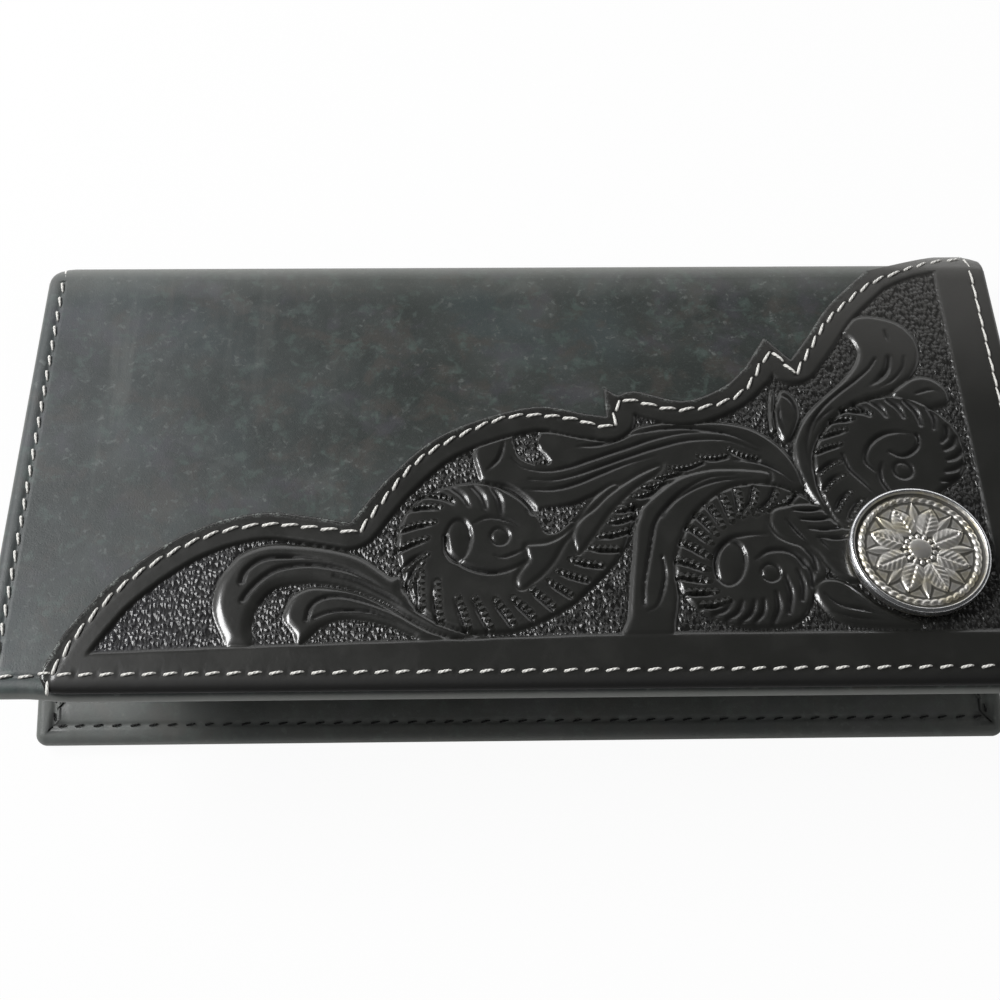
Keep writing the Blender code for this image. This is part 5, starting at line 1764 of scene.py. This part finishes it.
def rosette(r, angle):
    # height above the field, and how hollow each place is
    petal, x, wide, share = petalRing(r, angle, concho["petals"])
    vein = np.exp(-(x / concho["veinWidth"]) ** 2) * (share < concho["veinEnd"])
    ribs = 0.5 + 0.5 * np.cos((r - np.abs(x) * concho["ribSlant"]) * 2 * pi / concho["ribPitch"])
    ribs *= 1 - np.abs(x) / wide > concho["plainEdge"]
    leaf, leafX, leafWide, share = petalRing(r, angle, concho["leaves"], 0.5)
    # domed middle in a ring of beads, and a rope ring inside the rim
    dome = concho["middleHigh"] + concho["middleDome"] * domed(r / concho["middle"])
    dome = np.where(r < concho["middle"], dome, 0)
    beadAngle = (angle * concho["beads"] / (2 * pi)) % 1 - 0.5
    bead = np.hypot(beadAngle * 2 * pi * concho["beadRing"] / concho["beads"], r - concho["beadRing"])
    beads = concho["beadHigh"] * domed(bead / concho["beadSize"])
    beads = np.where(bead < concho["beadSize"], beads, 0)
    fromRope = r - concho["rope"]
    strands = (0.5 + 0.5 * np.cos(angle * concho["strands"] + fromRope * concho["twist"])) ** 0.7
    rope = np.sqrt(np.clip(1 - np.abs(fromRope) / concho["ropeWidth"], 0, 1))
    rope *= concho["ropeHigh"] + concho["strandHigh"] * strands
    petal *= concho["petalHigh"] - concho["veinDeep"] * vein - concho["ribDeep"] * ribs
    top = np.max([petal, leaf * concho["leafHigh"], dome, beads, rope], axis=0)
    # dark where it is low beside a raised shape, and clear again farther out in the field
    outside = np.min([np.where(r < 9.2, np.abs(x) - wide, 9), np.where(r < 9.6, np.abs(leafX) - leafWide, 9),
                      bead - concho["beadSize"], np.abs(fromRope) - concho["ropeWidth"],
                      r - concho["middle"]], axis=0)
    clear = concho["cleared"] * smoothStep(outside, *concho["clearFrom"])
    return top, (1 - smoothStep(top, *concho["darkBelow"])) * (1 - clear)


def makeConcho():
    r0, height, roll, dish = (concho[key] for key in ("radius", "height", "roll", "dish"))
    field = height - concho["field"]
    inner = r0 - concho["rim"]
    # (radius, height) from the middle of the face over the rim to the middle of the underside
    face = [(r, field - dish) for r in np.linspace(0.0, inner - dish, concho["rings"])]
    edge = [(inner - 0.1, field - 0.2), (inner, height - 0.35), (inner + 0.10, height - 0.1),
            (inner + 0.24, height)]
    edge += [(r0 - roll + roll * sin(a), height - roll + roll * cos(a)) for a in np.linspace(0.1, pi / 2, 7)]
    edge += [(r0, height / 2), (r0 - 0.05, 0.5), (r0 - 0.4, 0.1), (r0 - 0.8, 0), (6.0, 0), (2.2, 0), (0, 0)]
    profile = np.array(face + edge)
    piece = startGrid("conchoDisc", len(profile) - 1, concho["turns"])
    column, turn = readPoints(piece)[:, :2].T.astype(int)
    angle = turn / concho["turns"] * 2 * pi
    r, z = profile[column].T
    onFace = column < len(face)
    top, hollow = rosette(r, angle)
    ease = 1 - smoothStep(r, inner - 0.5, inner - dish)
    z = np.where(onFace, z + top * ease + concho["dome"] * (1 - (r / inner) ** 2), z)
    hollow = np.where(onFace, hollow, 0)
    hollow[(column >= len(face) - 1) & (column <= len(face))] = 1
    setAttribute(piece, "hollow", hollow)
    setAttribute(piece, "rubbed", smoothStep(r, inner + 0.05, inner + 0.25) * (z > height * 0.45))
    writePoints(piece, np.stack([concho["u"] + r * np.cos(angle) * mm, concho["v"] + r * np.sin(angle) * mm,
                                 yokeFace - concho["seat"] - z * mm], 1))
    mergeClose(piece, 0.0008 * mm)
    settle(piece, onFront, agedNickel, "concho", "front_half", 50)


makeConcho()
screw = frame["nodes"]["concho_screw"]
screw.data.materials.clear()
screw.data.materials.append(agedNickel[0])
print("concho made")


stage = {
    "floorSize": 4.0,
    "floorTone": (0.80, 0.80, 0.80),
    "floorShow": 0.95,
    "worldLight": 0.36,
    "ceiling": 0.04,
    # name, place, size and power of each soft light
    "lights": (
        ("windowLeft", (-0.59, 0.30, 0.56), (0.50, 0.20), 7.4),
        ("lowBack", (0.0, 0.90, 0.20), (1.4, 0.22), 1.0),
    ),
    # fitted to the corners, edges and stitches of the wallet in the photograph
    "lens": 51.2,
    "camera": (-8.94 * mm, -60.58 * mm, 275.84 * mm),
    "turn": radians(4.970),
    "down": radians(77.745),
    "roll": radians(4.440),
}


def makeFloor():
    chooseOnly()
    bpy.ops.mesh.primitive_plane_add(size=stage["floorSize"], location=(0, 0, -0.02 * mm))
    floor = bpy.context.object
    floor.name = "floor"
    material = bpy.data.materials.new("floorPaper")
    material.use_nodes = True
    tree = material.node_tree
    tree.nodes.clear()
    wire = Wire(tree)
    paper = wire.node("ShaderNodeBsdfDiffuse", {}, {"Color": (*stage["floorTone"], 1)})
    shine = wire.node("ShaderNodeEmission", {}, {"Color": (1, 1, 1, 1), "Strength": 1.0})
    seen = wire.node("ShaderNodeLightPath", output=0)
    mixed = wire.node("ShaderNodeMixShader", {}, {0: seen * stage["floorShow"], 1: paper, 2: shine})
    wire.node("ShaderNodeOutputMaterial", {}, {"Surface": mixed}, None)
    floor.data.materials.append(material)


def makeRoom():
    # seen in the leather and the metal, the white walls darken into the ceiling
    world = bpy.data.worlds.new("paleRoom")
    bpy.context.scene.world = world
    world.use_nodes = True
    tree = world.node_tree
    wire = Wire(tree)
    path = tree.nodes.new("ShaderNodeLightPath")
    camera, glossy, clear = (Wire(tree, path.outputs[f"Is {name} Ray"])
                             for name in ("Camera", "Glossy", "Transmission"))
    shown = camera.maths("MAXIMUM", glossy).maths("MAXIMUM", clear)
    height = wire.node("ShaderNodeTexCoord").axis(2)
    ceiling = height.between(0.0, 0.34, 0.15, 1.0) * (1 - camera)
    background = tree.nodes["Background"]
    background.inputs["Color"].default_value = (1, 1, 1, 1)
    strength = (1 - shown) * stage["worldLight"] + shown * (1 - ceiling * (1 - stage["ceiling"]))
    tree.links.new(strength.socket, background.inputs["Strength"])


def addLights():
    for name, place, size, power in stage["lights"]:
        chooseOnly()
        bpy.ops.object.light_add(type="AREA", location=place)
        lamp = bpy.context.object
        lamp.name = name
        lamp.data.shape = "RECTANGLE"
        lamp.data.size, lamp.data.size_y = size
        lamp.data.energy = power
        lamp.rotation_mode = "QUATERNION"
        lamp.rotation_quaternion = (-Vector(place)).to_track_quat("-Z", "Y")


def addCamera():
    chooseOnly()
    bpy.ops.object.camera_add(location=stage["camera"])
    camera = bpy.context.object
    camera.name = "camera"
    camera.data.lens = stage["lens"]
    camera.data.sensor_width = 36
    camera.data.clip_start = 10 * mm
    turn, down, roll = stage["turn"], stage["down"], stage["roll"]
    forward = Vector((sin(turn) * cos(down), cos(turn) * cos(down), -sin(down)))
    level = Vector((cos(turn), -sin(turn), 0))
    up = level.cross(forward)
    right, top = cos(roll) * level + sin(roll) * up, cos(roll) * up - sin(roll) * level
    camera.rotation_mode = "QUATERNION"
    camera.rotation_quaternion = Matrix((right, top, -forward)).transposed().to_quaternion()
    bpy.context.scene.camera = camera


makeFloor()
makeRoom()
addLights()
addCamera()
bpy.context.scene.view_settings.view_transform = "Standard"
print("stage made")
